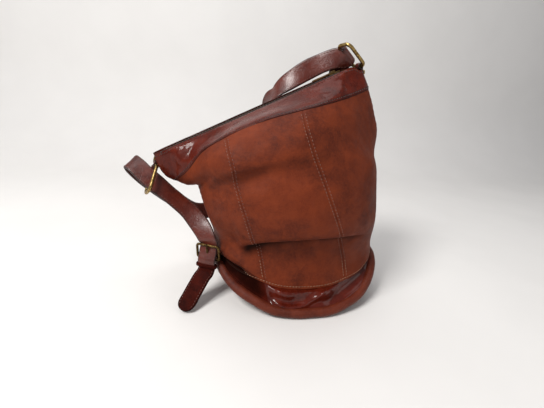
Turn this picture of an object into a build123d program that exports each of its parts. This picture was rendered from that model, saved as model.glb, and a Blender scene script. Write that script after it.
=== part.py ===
from build123d import *
import math
import os

import numpy as np

# Slumped leather hobo bag with an oval base, a sloping zipped mouth, two brass
# rings at the mouth's corners and one long strap.
# Frame: millimetres, +Z up. X runs along the base's long axis (left corner of
# the mouth is at -X), -Y is the front. Origin: centre of the base, on the
# surface that the bag stands on.

os.makedirs("parts", exist_ok=True)

# ---------------------------------------------------------------- dimensions
LEATHER = 2.0            # body leather
BAND_LEATHER = 2.2       # glossy band leather at mouth and foot
WELT_R = 4.8             # rolled welt radius
BASE_T = 3.0             # base panel
FLAT = 0.35              # share of the half length over which the base lies flat
BASE_A = 103.0           # welt centre line, half length
BASE_B = 84.0            # welt centre line, half depth
CURL_L = 39.0            # rise of the base's left end
CURL_R = 42.0            # rise of the base's right end
BASE_N = 2.25            # superellipse exponent of the base outline

MOUTH_L = (-175.0, 0.0, 167.0)   # left end of the mouth line
MOUTH_R = (55.0, 0.0, 282.0)     # right end of the mouth line
LIP = 8.5                # half width of the mouth, to the leather's outer face

TAPE_T = 0.9             # zip tape thickness
TAPE_DROP = 2.6          # tape plane below the mouth's edge
TOOTH_PITCH = 3.6
TOOTH_LEN = 1.9          # across the chain
TOOTH_W = 1.5            # along the chain
TOOTH_H = 2.6
CHAIN_GAP = 0.8          # half gap between the two rows of teeth
CHAIN_START = 18.0       # from the mouth's left end
CHAIN_END = 230.0
TAPE_EDGE = [            # half width of the tape and its station from the left end
    (14.0, 4.1), (17.0, 5.0), (21.0, 5.9), (25.0, 6.2), (226.0, 6.2),
    (230.0, 5.8), (234.0, 4.9), (238.0, 4.0)]

RING_L = 16.2            # ring centre line, half length (strap way)
RING_S = 9.4             # ring centre line, half width
RING_CORNER = 6.0
RING_WIRE = 1.9          # wire radius

STRAP_T = 3.0            # strap thickness, two layers stitched
STRAP_W = 22.0           # strap width
BUCKLE_WIRE = 1.5
BUCKLE_L = 13.8          # half length across the strap, wire centre line
BUCKLE_S = 9.0           # half length along the strap

# Outer surface of the bag. Each row runs once round the bag: ten stations on
# the front from the left side seam to the right one, then eight on the back
# from right to left. Rows go up: 0 welt, 2 foot seam, 11 top band seam,
# 13 mouth.
NET = np.array([
    [(-103.0, -0.0, 44.0), (-95.9, -36.5, 36.9), (-75.2, -63.0, 20.4), (-42.9, -79.6, 6.3), (-14.6, -84.6, 4.8), (20.0, -84.0, 5.3), (47.1, -77.9, 9.0), (76.7, -60.8, 24.4), (95.5, -35.1, 40.4), (102.0, -0.0, 47.0), (95.6, 34.1, 40.4), (76.9, 59.3, 24.5), (47.5, 75.9, 9.1), (17.5, 82.3, 5.3), (-18.5, 82.3, 4.7), (-48.5, 75.9, 7.7), (-77.9, 59.3, 22.2), (-96.6, 34.1, 37.6)],
    [(-101.5, -0.0, 49.0), (-94.8, -33.2, 43.1), (-75.4, -57.5, 29.2), (-44.9, -73.2, 16.6), (-15.8, -78.5, 14.8), (20.3, -78.0, 15.3), (48.5, -71.8, 19.1), (76.8, -55.9, 32.6), (94.8, -32.1, 46.4), (101.0, -0.0, 52.0), (94.7, 32.9, 46.4), (76.2, 57.1, 32.8), (47.2, 73.2, 19.6), (17.5, 79.3, 16.3), (-18.0, 79.3, 15.7), (-47.7, 73.2, 18.2), (-76.7, 57.1, 30.5), (-95.2, 32.9, 43.6)],
    [(-100.5, -0.0, 54.0), (-94.4, -28.6, 50.2), (-76.5, -49.6, 41.2), (-48.3, -63.7, 32.5), (-18.3, -69.4, 30.7), (19.4, -69.2, 31.3), (49.0, -63.2, 34.3), (76.3, -49.0, 43.8), (93.6, -28.1, 53.2), (99.5, -0.0, 57.0), (93.2, 31.7, 53.5), (75.0, 55.0, 44.9), (46.3, 70.5, 36.5), (17.0, 76.3, 34.3), (-18.0, 76.3, 33.7), (-47.3, 70.5, 35.1), (-76.0, 55.0, 42.6), (-94.2, 31.7, 50.7)],
    [(-103.5, -0.0, 64.0), (-97.5, -25.6, 63.0), (-80.1, -45.3, 60.6), (-52.8, -58.9, 58.3), (-23.0, -65.0, 57.8), (13.9, -65.5, 58.2), (44.7, -60.5, 59.0), (74.7, -47.0, 61.8), (93.9, -26.8, 64.8), (100.5, -0.0, 66.0), (94.0, 30.6, 65.1), (75.0, 53.8, 63.0), (45.4, 69.4, 60.9), (15.7, 75.3, 60.2), (-18.7, 75.3, 59.8), (-48.4, 69.4, 59.9), (-78.0, 53.8, 61.5), (-97.0, 30.6, 63.2)],
    [(-108.0, -0.0, 76.0), (-102.4, -25.7, 77.0), (-86.2, -45.7, 79.6), (-60.5, -60.1, 82.4), (-32.0, -67.2, 83.7), (4.1, -68.9, 84.1), (36.3, -65.0, 84.2), (70.6, -51.4, 82.0), (92.8, -29.6, 79.2), (100.5, -0.0, 78.0), (93.8, 31.4, 79.1), (74.5, 55.3, 81.6), (44.2, 71.2, 83.9), (13.8, 77.3, 84.2), (-21.3, 77.3, 83.8), (-51.7, 71.2, 83.0), (-82.0, 55.3, 80.1), (-101.3, 31.4, 77.2)],
    [(-113.0, -0.0, 90.0), (-107.7, -28.9, 91.6), (-92.2, -51.6, 95.9), (-67.8, -68.3, 100.6), (-40.6, -77.1, 103.3), (-6.9, -80.0, 104.0), (26.5, -77.0, 104.5), (64.9, -61.9, 101.4), (89.8, -35.9, 96.3), (98.5, -0.0, 94.0), (91.7, 31.8, 95.8), (72.1, 56.0, 100.2), (41.4, 72.1, 104.0), (10.6, 78.3, 104.3), (-25.1, 78.3, 103.7), (-55.9, 72.1, 102.1), (-86.6, 56.0, 97.2), (-106.2, 31.8, 92.1)],
    [(-118.0, -0.0, 104.0), (-112.9, -29.4, 106.0), (-97.8, -53.3, 111.3), (-74.2, -71.4, 117.6), (-47.9, -81.4, 121.7), (-17.0, -85.4, 123.7), (16.4, -83.3, 125.6), (58.2, -67.6, 123.9), (85.8, -39.0, 118.6), (95.5, -0.0, 116.0), (88.5, 30.4, 117.6), (68.3, 54.1, 121.2), (37.0, 70.2, 123.8), (6.0, 76.3, 123.0), (-28.5, 76.3, 121.0), (-59.5, 70.2, 118.4), (-90.8, 54.1, 112.3), (-111.0, 30.4, 106.4)],
    [(-122.0, -0.0, 118.0), (-117.2, -27.0, 120.6), (-103.1, -50.0, 127.6), (-80.8, -67.9, 136.4), (-55.8, -78.5, 142.9), (-26.9, -83.6, 146.7), (4.9, -82.8, 150.2), (50.3, -68.2, 151.2), (81.1, -39.2, 145.3), (92.0, -0.0, 142.0), (84.8, 27.4, 143.9), (64.2, 49.5, 148.1), (32.4, 64.5, 150.3), (1.6, 70.3, 147.9), (-31.6, 70.3, 144.1), (-62.4, 64.5, 139.6), (-94.2, 49.5, 130.3), (-114.8, 27.4, 121.5)],
    [(-125.0, -0.0, 128.0), (-120.4, -24.3, 131.6), (-107.0, -45.0, 141.1), (-85.7, -61.4, 153.3), (-62.6, -71.1, 162.7), (-36.0, -76.2, 168.8), (-5.9, -76.5, 174.5), (42.3, -64.2, 179.0), (75.3, -37.3, 172.4), (87.0, -0.0, 168.0), (79.9, 23.9, 170.1), (59.4, 43.2, 174.3), (28.0, 56.4, 175.5), (-2.6, 61.4, 171.1), (-35.4, 61.4, 164.9), (-66.0, 56.4, 157.8), (-97.4, 43.2, 144.7), (-117.9, 23.9, 132.8)],
    [(-127.2, 0.0, 131.3), (-117.8, -32.0, 144.6), (-106.1, -56.0, 157.7), (-88.5, -70.0, 166.8), (-65.9, -76.0, 174.8), (-39.9, -79.0, 183.1), (-13.4, -77.0, 189.7), (24.5, -62.0, 196.5), (57.0, -36.0, 200.8), (88.7, 0.0, 205.7), (57.0, 26.6, 200.8), (24.5, 45.9, 196.5), (-13.4, 57.0, 189.7), (-39.9, 58.5, 183.1), (-65.9, 56.2, 174.8), (-88.5, 51.8, 166.8), (-106.1, 41.4, 157.7), (-117.8, 23.7, 144.6)],
    [(-138.8, 0.0, 131.0), (-127.4, -30.0, 148.3), (-114.2, -50.0, 169.4), (-93.0, -62.0, 182.6), (-69.8, -68.0, 192.3), (-44.7, -71.0, 200.6), (-19.5, -70.0, 207.5), (14.7, -57.0, 216.4), (48.3, -33.0, 224.3), (77.6, 0.0, 232.3), (48.3, 22.4, 224.3), (14.7, 38.8, 216.4), (-19.5, 47.6, 207.5), (-44.7, 48.3, 200.6), (-69.8, 46.2, 192.3), (-93.0, 42.2, 182.6), (-114.2, 34.0, 169.4), (-127.4, 20.4, 148.3)],
    [(-152.3, 0.0, 136.7), (-136.6, -20.0, 153.3), (-118.8, -34.0, 177.5), (-95.7, -44.0, 194.5), (-73.5, -50.0, 207.1), (-48.6, -53.0, 217.5), (-21.9, -53.0, 225.9), (6.9, -45.0, 234.3), (37.2, -27.0, 243.2), (66.0, 0.0, 252.9), (37.2, 18.9, 243.2), (6.9, 31.5, 234.3), (-21.9, 37.1, 225.9), (-48.6, 37.1, 217.5), (-73.5, 35.0, 207.1), (-95.7, 30.8, 194.5), (-118.8, 23.8, 177.5), (-136.6, 14.0, 153.3)],
    [(-165.3, 0.0, 145.9), (-147.6, -14.0, 163.9), (-123.6, -20.0, 180.3), (-99.4, -25.0, 197.1), (-73.7, -28.0, 211.2), (-47.1, -30.0, 223.2), (-20.1, -30.0, 235.1), (7.4, -26.0, 246.6), (34.8, -16.0, 257.6), (58.5, 0.0, 266.5), (34.8, 12.8, 257.6), (7.4, 20.8, 246.6), (-20.1, 24.0, 235.1), (-47.1, 24.0, 223.2), (-73.7, 22.4, 211.2), (-99.4, 20.0, 197.1), (-123.6, 16.0, 180.3), (-147.6, 11.2, 163.9)],
    [(-175.0, 0.0, 167.0), (-160.1, -8.1, 174.5), (-134.8, -8.5, 187.1), (-106.0, -8.5, 201.5), (-76.1, -8.5, 216.4), (-47.3, -8.5, 230.8), (-19.8, -8.5, 244.6), (6.7, -8.5, 257.9), (32.0, -8.1, 270.5), (55.0, 0.0, 282.0), (32.0, 8.1, 270.5), (6.7, 8.5, 257.9), (-19.8, 8.5, 244.6), (-47.3, 8.5, 230.8), (-76.1, 8.5, 216.4), (-106.0, 8.5, 201.5), (-134.8, 8.5, 187.1), (-160.1, 8.1, 174.5)],
])
ROW_WELT, ROW_FOOT, ROW_BAND, ROW_MOUTH = 0, 2, 11, 13
COLS = 18


# ------------------------------------------------------------------- helpers
def unit(v):
    v = np.asarray(v, float)
    return v / np.linalg.norm(v)


def cubic(p0, p1, p2, p3, t):
    return 0.5 * (2 * p1 + (p2 - p0) * t + (2 * p0 - 5 * p1 + 4 * p2 - p3) * t * t
                  + (3 * p1 - p0 - 3 * p2 + p3) * t ** 3)


def row_at(k):
    last = len(NET) - 1
    if k < 0:
        return 2 * NET[0] - NET[1]
    if k > last:
        return 2 * NET[last] - NET[last - 1]
    return NET[k]


def skin(s, c):
    """Point of the bag's outer surface: s counts rows up, c columns round."""
    i = int(min(max(math.floor(s), 0), len(NET) - 2))
    j = int(math.floor(c))
    rows = []
    for k in range(i - 1, i + 3):
        r = row_at(k)
        rows.append(cubic(r[(j - 1) % COLS], r[j % COLS], r[(j + 1) % COLS],
                          r[(j + 2) % COLS], c - j))
    return cubic(rows[0], rows[1], rows[2], rows[3], s - i)


def skin_normal(s, c):
    """Outward unit normal of the skin."""
    e = 0.02
    s0, s1 = max(s - e, 0.0), min(s + e, ROW_MOUTH - 1e-6)
    up = skin(s1, c) - skin(s0, c)
    along = skin(s, c + e) - skin(s, c - e)
    return unit(np.cross(along, up))


def sheet(outer, inner):
    """Closed solid between two grids of points of the same shape."""
    def face(grid):
        return Face.make_surface_from_array_of_points(
            [[Vector(*p) for p in line] for line in grid], tol=0.02, min_deg=3, max_deg=3)

    fo, fi = face(outer), face(inner)

    def side(face_, a, b):
        """The face's boundary edge that runs between corners a and b."""
        best, score = None, 1e9
        for e in face_.edges():
            p, q = e.position_at(0), e.position_at(1)
            p, q = np.array([p.X, p.Y, p.Z]), np.array([q.X, q.Y, q.Z])
            d = min(np.linalg.norm(p - a) + np.linalg.norm(q - b),
                    np.linalg.norm(p - b) + np.linalg.norm(q - a))
            if d < score:
                best, score = e, d
        return best

    faces = [fo, fi]
    corners = [((0, 0), (0, -1)), ((0, -1), (-1, -1)), ((-1, -1), (-1, 0)), ((-1, 0), (0, 0))]
    for a, b in corners:
        eo = side(fo, outer[a], outer[b])
        ei = side(fi, inner[a], inner[b])
        faces.append(Face.make_surface_from_curves(eo, ei))
    return Solid(Shell(faces))


def skin_patch(s0, s1, c0, c1, thick, ns, nc, out=0.0):
    outer = np.zeros((ns, nc, 3))
    inner = np.zeros((ns, nc, 3))
    for i, s in enumerate(np.linspace(s0, s1, ns)):
        for j, c in enumerate(np.linspace(c0, c1, nc)):
            p, n = skin(s, c), skin_normal(s, c)
            outer[i, j] = p + n * out
            inner[i, j] = p - n * (thick - out)
    return sheet(outer, inner)


def ribbon(stations, width, thick, n, s0=0.0, s1=None, taper=None):
    """Flat strap along stations of (centre, cross direction)."""
    c = np.array([s[0] for s in stations], float)
    w = np.array([unit(s[1]) for s in stations])
    last = len(stations) - 1
    s1 = last if s1 is None else s1

    def at(arr, s):
        i = int(min(max(math.floor(s), 0), last - 1))
        a = arr[i - 1] if i > 0 else 2 * arr[0] - arr[1]
        b = arr[i + 2] if i + 2 <= last else 2 * arr[last] - arr[last - 1]
        return cubic(a, arr[i], arr[i + 1], b, s - i)

    top = np.zeros((n, 5, 3))
    bot = np.zeros((n, 5, 3))
    for k, s in enumerate(np.linspace(s0, s1, n)):
        p, cross = at(c, s), unit(at(w, s))
        t = unit(at(c, min(s + 0.02, last)) - at(c, max(s - 0.02, 0)))
        nrm = unit(np.cross(t, cross))
        half = width / 2 * (taper(s) if taper else 1.0)
        for j, x in enumerate(np.linspace(-1, 1, 5)):
            q = p + cross * half * x
            top[k, j] = q + nrm * thick / 2
            bot[k, j] = q - nrm * thick / 2
    return sheet(top, bot)


def frame_plane(origin, xdir, ydir):
    z = unit(np.cross(unit(xdir), unit(ydir)))
    return Plane(origin=tuple(origin), x_dir=tuple(unit(xdir)), z_dir=tuple(z))


def wire_loop(plane, half_l, half_s, corner, r):
    """Rounded rectangular ring of round wire in the plane."""
    path = (plane * RectangleRounded(2 * half_l, 2 * half_s, corner)).face().outer_wire()
    start = path.position_at(0)
    tangent = path.tangent_at(0)
    section = Plane(origin=start, z_dir=tangent) * Circle(r)
    return sweep(section, path=path, transition=Transition.ROUND).solid()


parts = {}


def keep(name, shape, label=None):
    parts[name] = shape


# --------------------------------------------------------------- base and foot
def base_rise(u):
    """Rise of the base above its flat middle, u from -1 (left) to 1 (right)."""
    k = max(0.0, (abs(u) - FLAT) / (1 - FLAT))
    return (CURL_L if u < 0 else CURL_R) * k * k


def base_outline(a, b, n=72):
    pts = []
    for k in range(n):
        th = 2 * math.pi * k / n
        cx = math.copysign(abs(math.cos(th)) ** (2 / BASE_N), math.cos(th))
        cy = math.copysign(abs(math.sin(th)) ** (2 / BASE_N), math.sin(th))
        pts.append((a * cx, b * cy))
    return pts


inset = WELT_R - 0.6
low_r = [(BASE_A * u, base_rise(u)) for u in np.linspace(FLAT, 1.0, 14)]
low_l = [(BASE_A * u, base_rise(u)) for u in np.linspace(-1.0, -FLAT, 14)]


def profile_face():
    left_lo = Spline([Vector(x, 0, z) for x, z in low_l])
    left_hi = Spline([Vector(x, 0, z + BASE_T) for x, z in low_l])
    right_lo = Spline([Vector(x, 0, z) for x, z in low_r])
    right_hi = Spline([Vector(x, 0, z + BASE_T) for x, z in low_r])
    edges = [
        left_lo, Line(left_lo @ 1, right_lo @ 0), right_lo,
        Line(right_lo @ 1, right_hi @ 1), right_hi, Line(right_hi @ 0, left_hi @ 1),
        left_hi, Line(left_hi @ 0, left_lo @ 0),
    ]
    return Face(Wire([e.edge() for e in edges]))


slab = extrude(profile_face(), amount=BASE_B + 5, dir=(0, 1, 0), both=True)
outline = Spline([Vector(x, y, -5) for x, y in base_outline(BASE_A - inset, BASE_B - inset)],
                 periodic=True)
column = extrude(Face(Wire([outline.edge()])), amount=80, dir=(0, 0, 1))
base_panel = (slab & column).solid()
keep("base_panel", base_panel)

def welt_point(th):
    cx = math.copysign(abs(math.cos(th)) ** (2 / BASE_N), math.cos(th))
    cy = math.copysign(abs(math.sin(th)) ** (2 / BASE_N), math.sin(th))
    return np.array([BASE_A * cx, BASE_B * cy, WELT_R + base_rise(cx)])


def welt_half(th0, th1):
    """Round roll along half of the base's edge, from side seam to side seam."""
    n, m = 49, 9
    ths = np.linspace(th0, th1, n)
    upper, lower = np.zeros((n, m, 3)), np.zeros((n, m, 3))
    for k, th in enumerate(ths):
        p = welt_point(th)
        if k in (0, n - 1):
            p = np.array([BASE_A * round(math.cos(th)), 0.0,
                          WELT_R + base_rise(round(math.cos(th)))])
            t = np.array([0.0, 1.0, 0.0]) * (1 if round(math.cos(th)) > 0 else -1)
        else:
            t = unit(welt_point(th + 0.01) - welt_point(th - 0.01))
        side = unit(np.cross(t, [0, 0, 1.0]))
        up = np.cross(side, t)
        for j, a in enumerate(np.radians(np.linspace(8, 172, m))):
            upper[k, j] = p + (side * math.cos(a) + up * math.sin(a)) * WELT_R
            lower[k, j] = p + (side * math.cos(a) - up * math.sin(a)) * WELT_R
    return sheet(upper, lower)


welt = Compound(children=[welt_half(0, math.pi), welt_half(math.pi, 2 * math.pi)])
keep("base_welt", welt)

# ------------------------------------------------------------------ body skin
keep("front_foot_band", skin_patch(0.42, ROW_FOOT, 0, 9, BAND_LEATHER, 8, 46))
keep("back_foot_band", skin_patch(0.42, ROW_FOOT, 9, 18, BAND_LEATHER, 8, 46))
keep("front_left_panel", skin_patch(ROW_FOOT, ROW_BAND, 0, 3, LEATHER, 37, 19))
keep("front_center_panel", skin_patch(ROW_FOOT, ROW_BAND, 3, 6, LEATHER, 37, 16))
keep("front_right_panel", skin_patch(ROW_FOOT, ROW_BAND, 6, 9, LEATHER, 37, 19))
keep("back_right_panel", skin_patch(ROW_FOOT, ROW_BAND, 9, 12, LEATHER, 37, 19))
keep("back_center_panel", skin_patch(ROW_FOOT, ROW_BAND, 12, 15, LEATHER, 37, 16))
keep("back_left_panel", skin_patch(ROW_FOOT, ROW_BAND, 15, 18, LEATHER, 37, 19))
# the right corner of the mouth is cut down where the ring's bar lies over it
ml, mr = np.array(MOUTH_L), np.array(MOUTH_R)
mouth_len = float(np.linalg.norm(mr - ml))
mx = unit(mr - ml)                       # along the mouth, left to right
my = np.array([0.0, 1.0, 0.0])
mz = unit(np.cross(mx, my))              # out of the mouth
zip_origin = ml - mz * TAPE_DROP
corner_cut = Plane(origin=tuple(zip_origin + mx * 258.0 + mz * 6.0), x_dir=tuple(mx), z_dir=tuple(mz)) * Box(32.0, 60.0, 25.0)
keep("front_top_band", (skin_patch(ROW_BAND, ROW_MOUTH, 0, 9, BAND_LEATHER, 9, 46) - corner_cut).solid())
keep("back_top_band", (skin_patch(ROW_BAND, ROW_MOUTH, 9, 18, BAND_LEATHER, 9, 46) - corner_cut).solid())

# inner slip pocket on the back wall
pocket_out = np.zeros((9, 11, 3))
pocket_in = np.zeros((9, 11, 3))
for i, s in enumerate(np.linspace(6.0, 9.6, 9)):
    for j, c in enumerate(np.linspace(11.9, 15.1, 11)):
        p, nr = skin(s, c), skin_normal(s, c)
        bulge = 1.0 + 4.0 * math.sin(math.pi * j / 10) * math.sin(math.pi * (0.15 + 0.85 * i / 8) * 0.5)
        pocket_out[i, j] = p - nr * (LEATHER + 0.1 + bulge)
        pocket_in[i, j] = p - nr * (LEATHER + 1.3 + bulge)
keep("inner_pocket", sheet(pocket_out, pocket_in))

# ------------------------------------------------------------------------ zip
def zip_box(x0, x1, y0, y1, z0, z1):
    """Box in the zip's own axes: along, across, out of the mouth."""
    pl = Plane(origin=tuple(zip_origin), x_dir=tuple(mx), z_dir=tuple(mz))
    b = Box(x1 - x0, y1 - y0, z1 - z0, align=(Align.MIN, Align.MIN, Align.MIN))
    return (pl * Pos(x0, y0, z0) * b).solid()


tape_in = CHAIN_GAP + TOOTH_LEN
zip_plane = Plane(origin=tuple(zip_origin), x_dir=tuple(mx), z_dir=tuple(mz))


def tape(sign):
    pts = [(TAPE_EDGE[0][0], sign * tape_in)] + [(x, sign * y) for x, y in TAPE_EDGE] + \
        [(TAPE_EDGE[-1][0], sign * tape_in)]
    f = Face(Wire(Polyline(pts + pts[:1]).edges()))
    return (zip_plane * extrude(Pos(0, 0, -TAPE_T / 2) * f, amount=TAPE_T, dir=(0, 0, 1))).solid()


keep("zip_tape_front", tape(-1))
keep("zip_tape_back", tape(1))
teeth_f, teeth_b = [], []
x = CHAIN_START
k = 0
while x < CHAIN_END:
    for lst, sign in ((teeth_f, -1), (teeth_b, 1)):
        xx = x + (TOOTH_PITCH / 2 if sign > 0 else 0)
        y0, y1 = sorted((sign * CHAIN_GAP, sign * tape_in))
        lst.append(zip_box(xx, xx + TOOTH_W, y0, y1, -TOOTH_H / 2, TOOTH_H / 2))
    x += TOOTH_PITCH
keep("zip_teeth_front", Compound(children=teeth_f))
keep("zip_teeth_back", Compound(children=teeth_b))
keep("zip_end_stops", Compound(children=[
    zip_box(14.6, 16.2, -tape_in - 0.8, tape_in + 0.8, TAPE_T / 2, TAPE_T / 2 + 0.9),
    zip_box(233.6, 235.2, -tape_in - 0.8, tape_in + 0.8, TAPE_T / 2, TAPE_T / 2 + 0.9)]))

SL0, SL1 = 218.5, 230.0          # slider near the closed end
plate_in = TOOTH_H / 2 + 0.25
plate_out = plate_in + 1.2
half_w = 3.9


def slider_plate(z0, z1):
    sk = Polyline([(SL0, -half_w + 1.2), (SL0 + 3.5, -half_w), (SL1, -half_w + 0.4),
                   (SL1, half_w - 0.4), (SL0 + 3.5, half_w), (SL0, half_w - 1.2),
                   (SL0, -half_w + 1.2)])
    f = Face(Wire(sk.edges()))
    return (zip_plane * extrude(Pos(0, 0, z0) * f, amount=z1 - z0, dir=(0, 0, 1))).solid()


LUG_W = 1.3
web = zip_box(SL1 - 6.0, SL1 - 0.5, -0.55, 0.55, -plate_in - 0.3, plate_in + 0.3)
lug_l = zip_box(SL0 + 2.0, SL0 + 3.2, -LUG_W, LUG_W, plate_out - 0.3, plate_out + 2.3)
lug_r = zip_box(SL0 + 5.4, SL0 + 6.6, -LUG_W, LUG_W, plate_out - 0.3, plate_out + 2.3)
lug_t = zip_box(SL0 + 2.0, SL0 + 6.6, -LUG_W, LUG_W, plate_out + 1.6, plate_out + 2.4)
slider = slider_plate(plate_in, plate_out) + slider_plate(-plate_out, -plate_in) + web + lug_l + lug_r + lug_t
keep("zip_slider", slider.solid())

# puller: a pin through the slider's lug, two arms and a flat tongue lying
# along the zip towards the left
PULL_X = SL0 + 4.3
PULL_Z = plate_out + 0.8
pull_plane = Plane(origin=tuple(zip_origin + mx * PULL_X + mz * PULL_Z), x_dir=tuple(mx), z_dir=tuple(mz))
side_y = 2.2


def pull_box(x0, x1, y0, y1, z0, z1):
    b = Box(x1 - x0, y1 - y0, z1 - z0, align=(Align.MIN, Align.MIN, Align.MIN))
    return (pull_plane * Pos(x0, y0, z0) * b).solid()


pin = (pull_plane * Rotation(90, 0, 0) * Cylinder(0.55, 2 * side_y)).solid()
arm_a = pull_box(-6.6, 0.6, -side_y - 0.5, -side_y + 0.5, -0.6, 0.6)
arm_b = pull_box(-6.6, 0.6, side_y - 0.5, side_y + 0.5, -0.6, 0.6)
cross = pull_box(-8.0, -6.0, -side_y - 0.5, side_y + 0.5, -0.6, 0.6)
tongue_pts = [(-7.0, -2.2), (-20.0, -3.2), (-24.0, -2.5), (-26.0, 0.0), (-24.0, 2.5), (-20.0, 3.2), (-7.0, 2.2), (-7.0, -2.2)]
tongue_face = Face(Wire(Polyline(tongue_pts).edges()))
tongue = (pull_plane * extrude(Pos(0, 0, -0.55) * tongue_face, amount=1.1, dir=(0, 0, 1))).solid()
hole = (pull_plane * Pos(-21.5, 0, 0) * Cylinder(1.3, 6)).solid()
puller = (pin + arm_a + arm_b + cross + tongue) - hole
keep("zip_puller", puller.solid())

# ---------------------------------------------------------------------- rings
RR_C = np.array([42.6, -1.4, 286.1])
RR_L = unit([0.788, 0.236, -0.569])       # towards the tab
RR_S = unit([0.320, -0.946, 0.051])
LR_C = np.array([-177.8, -3.5, 137.5])
LR_L = unit([0.16, 0.66, 0.735])          # towards the tab
LR_S = unit([0.44, -0.70, 0.545] - np.dot([0.44, -0.70, 0.545], LR_L) * LR_L)


def ring(centre, dl, ds):
    return wire_loop(frame_plane(centre, dl, ds), RING_L, RING_S, RING_CORNER, RING_WIRE)


keep("ring_right", ring(RR_C, RR_L, RR_S))
keep("ring_left", ring(LR_C, LR_L, LR_S))

# Each ring hangs in a folded leather tab: an eye round the ring's short bar
# and a flat tongue riveted to the mouth's corner.
TAB_W = 6.4


def ring_tab(centre, dl, ds, anchor, anchor_w):
    bar = centre + dl * RING_L
    pl = frame_plane(bar, dl, np.cross(ds, dl))
    r_in, r_out = RING_WIRE + 0.3, RING_WIRE + 0.3 + 1.4
    eye = (pl * Cylinder(r_out, TAB_W)) - (pl * Cylinder(r_in, TAB_W + 2))
    # tongue from the eye to the corner
    a = bar + dl * (r_out - 0.9)
    b = np.array(anchor)
    d = b - a
    st = [(a, ds), (a + d * 0.33 + dl * 0.8, ds), (a + d * 0.66 + dl * 0.5, unit(ds * 0.5 + np.array(anchor_w) * 0.5)), (b, anchor_w)]
    tongue_ = ribbon(st, TAB_W * 1.0, 2.6, 9)
    hole_ = pl * Cylinder(r_in, TAB_W + 2)
    return ((eye + tongue_) - hole_).solid()


keep("ring_tab_right", ring_tab(RR_C, RR_L, RR_S, (58.5, 0.6, 268.0), (0.15, -1.0, 0.1)))
keep("ring_tab_left", ring_tab(LR_C, LR_L, LR_S, (-171.0, 1.0, 164.0), (0.1, -1.0, 0.1)))

# ---------------------------------------------------------------------- strap
# stations: centre, direction across the strap (towards edge one)
STRAP = [
    ((-114.6, -30.4, 75.2), (0.86, -0.30, 0.28)),
    ((-119.0, -25.8, 83.2), (0.80, 0.0, 0.44)),
    ((-126.0, -19.0, 91.8), (0.70, 0.30, 0.49)),
    ((-135.6, -12.2, 101.8), (0.62, 0.56, 0.45)),
    ((-147.7, -8.6, 112.0), (0.53, 0.70, 0.42)),
    ((-160.6, -7.0, 122.9), (0.48, 0.72, 0.48)),
    ((-173.2, -6.0, 133.8), (0.50, 0.60, 0.62)),
    ((-184.0, -2.6, 142.4), (0.52, 0.62, 0.58)),
    ((-194.5, 3.4, 151.2), (0.48, 0.72, 0.49)),
    ((-201.8, 9.8, 153.8), (0.44, 0.76, 0.48)),
    ((-201.6, 15.2, 147.4), (0.42, 0.76, 0.50)),
    ((-190.0, 19.0, 133.5), (0.42, 0.70, 0.58)),
    ((-171.5, 24.0, 116.0), (0.42, 0.68, 0.60)),
    ((-152.0, 31.0, 99.0), (0.40, 0.72, 0.52)),
    ((-130.0, 43.0, 82.5), (0.30, 0.78, 0.50)),
    ((-104.0, 64.5, 77.5), (0.20, 0.46, 0.84)),
    ((-76.0, 85.0, 84.0), (0.05, 0.05, 1.0)),
    ((-49.0, 92.0, 95.0), (-0.35, 0.0, 0.93)),
    ((-30.0, 92.0, 117.0), (-0.80, -0.02, 0.58)),
    ((-23.0, 86.0, 146.0), (-0.99, -0.02, 0.14)),
    ((-27.0, 74.0, 176.0), (-0.98, 0.10, 0.10)),
    ((-34.9, 64.3, 208.8), (-0.80, 0.58, 0.14)),
    ((-40.5, 41.8, 229.1), (-0.38, 0.91, 0.18)),
    ((-38.0, 28.6, 239.0), (-0.16, 0.93, 0.34)),
    ((-29.8, 24.6, 250.0), (-0.22, 0.86, 0.46)),
    ((-18.7, 21.6, 259.3), (-0.26, 0.76, 0.59)),
    ((-3.7, 19.1, 268.6), (-0.25, 0.63, 0.74)),
    ((14.6, 12.6, 277.4), (-0.28, 0.45, 0.84)),
    ((27.0, 6.8, 282.6), (-0.48, 0.22, 0.85)),
    ((37.9, 3.1, 282.9), (-0.75, -0.20, 0.63)),
    ((41.2, 2.9, 287.0), (-0.788, -0.236, 0.569)),
    ((42.3, 6.8, 289.8), (-0.788, -0.236, 0.569)),
    ((40.2, 11.2, 288.7), (-0.788, -0.236, 0.569)),
    ((38.0, 19.0, 274.0), (-0.87, 0.02, 0.45)),
    ((39.5, 25.5, 257.0), (-0.93, 0.18, 0.24)),
    ((46.0, 32.5, 236.0), (-0.93, 0.30, 0.12)),
    ((55.0, 39.5, 211.0), (-0.92, 0.36, 0.10)),
    ((65.0, 46.5, 183.0), (-0.91, 0.40, 0.08)),
    ((73.0, 52.0, 154.0), (-0.88, 0.46, 0.06)),
    ((79.0, 55.5, 124.0), (-0.84, 0.54, 0.04)),
    ((83.5, 55.5, 96.0), (-0.82, 0.57, 0.0)),
    ((86.5, 53.0, 70.0), (-0.80, 0.60, 0.0)),
]
SECTIONS = [
    ("strap_left_run", 0.0, 8.0, 26),
    ("strap_left_fold", 8.0, 12.0, 26),
    ("strap_back_low", 12.0, 16.5, 16),
    ("strap_back_rise", 16.5, 22.0, 20),
    ("strap_top_arc", 22.0, 29.0, 24),
    ("strap_right_turn", 29.0, 33.0, 26),
    ("strap_right_drop", 33.0, 41.0, 24),
]

# ------------------------------------------------------ buckle, tail and tabs
BK_C = np.array([-113.0, -33.0, 58.5])           # buckle centre
BK_W = unit([0.905, -0.426, 0.0])              # across the strap
BK_T = unit(np.array([-0.043, -0.091, 0.995]) - np.dot([-0.043, -0.091, 0.995], BK_W) * BK_W)
BK_N = -unit(np.cross(BK_W, BK_T))                # towards the bag


def bk(w, t, n):
    """Point in the buckle's axes: across, up the strap, towards the bag."""
    return BK_C + BK_W * w + BK_T * t + BK_N * n


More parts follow.
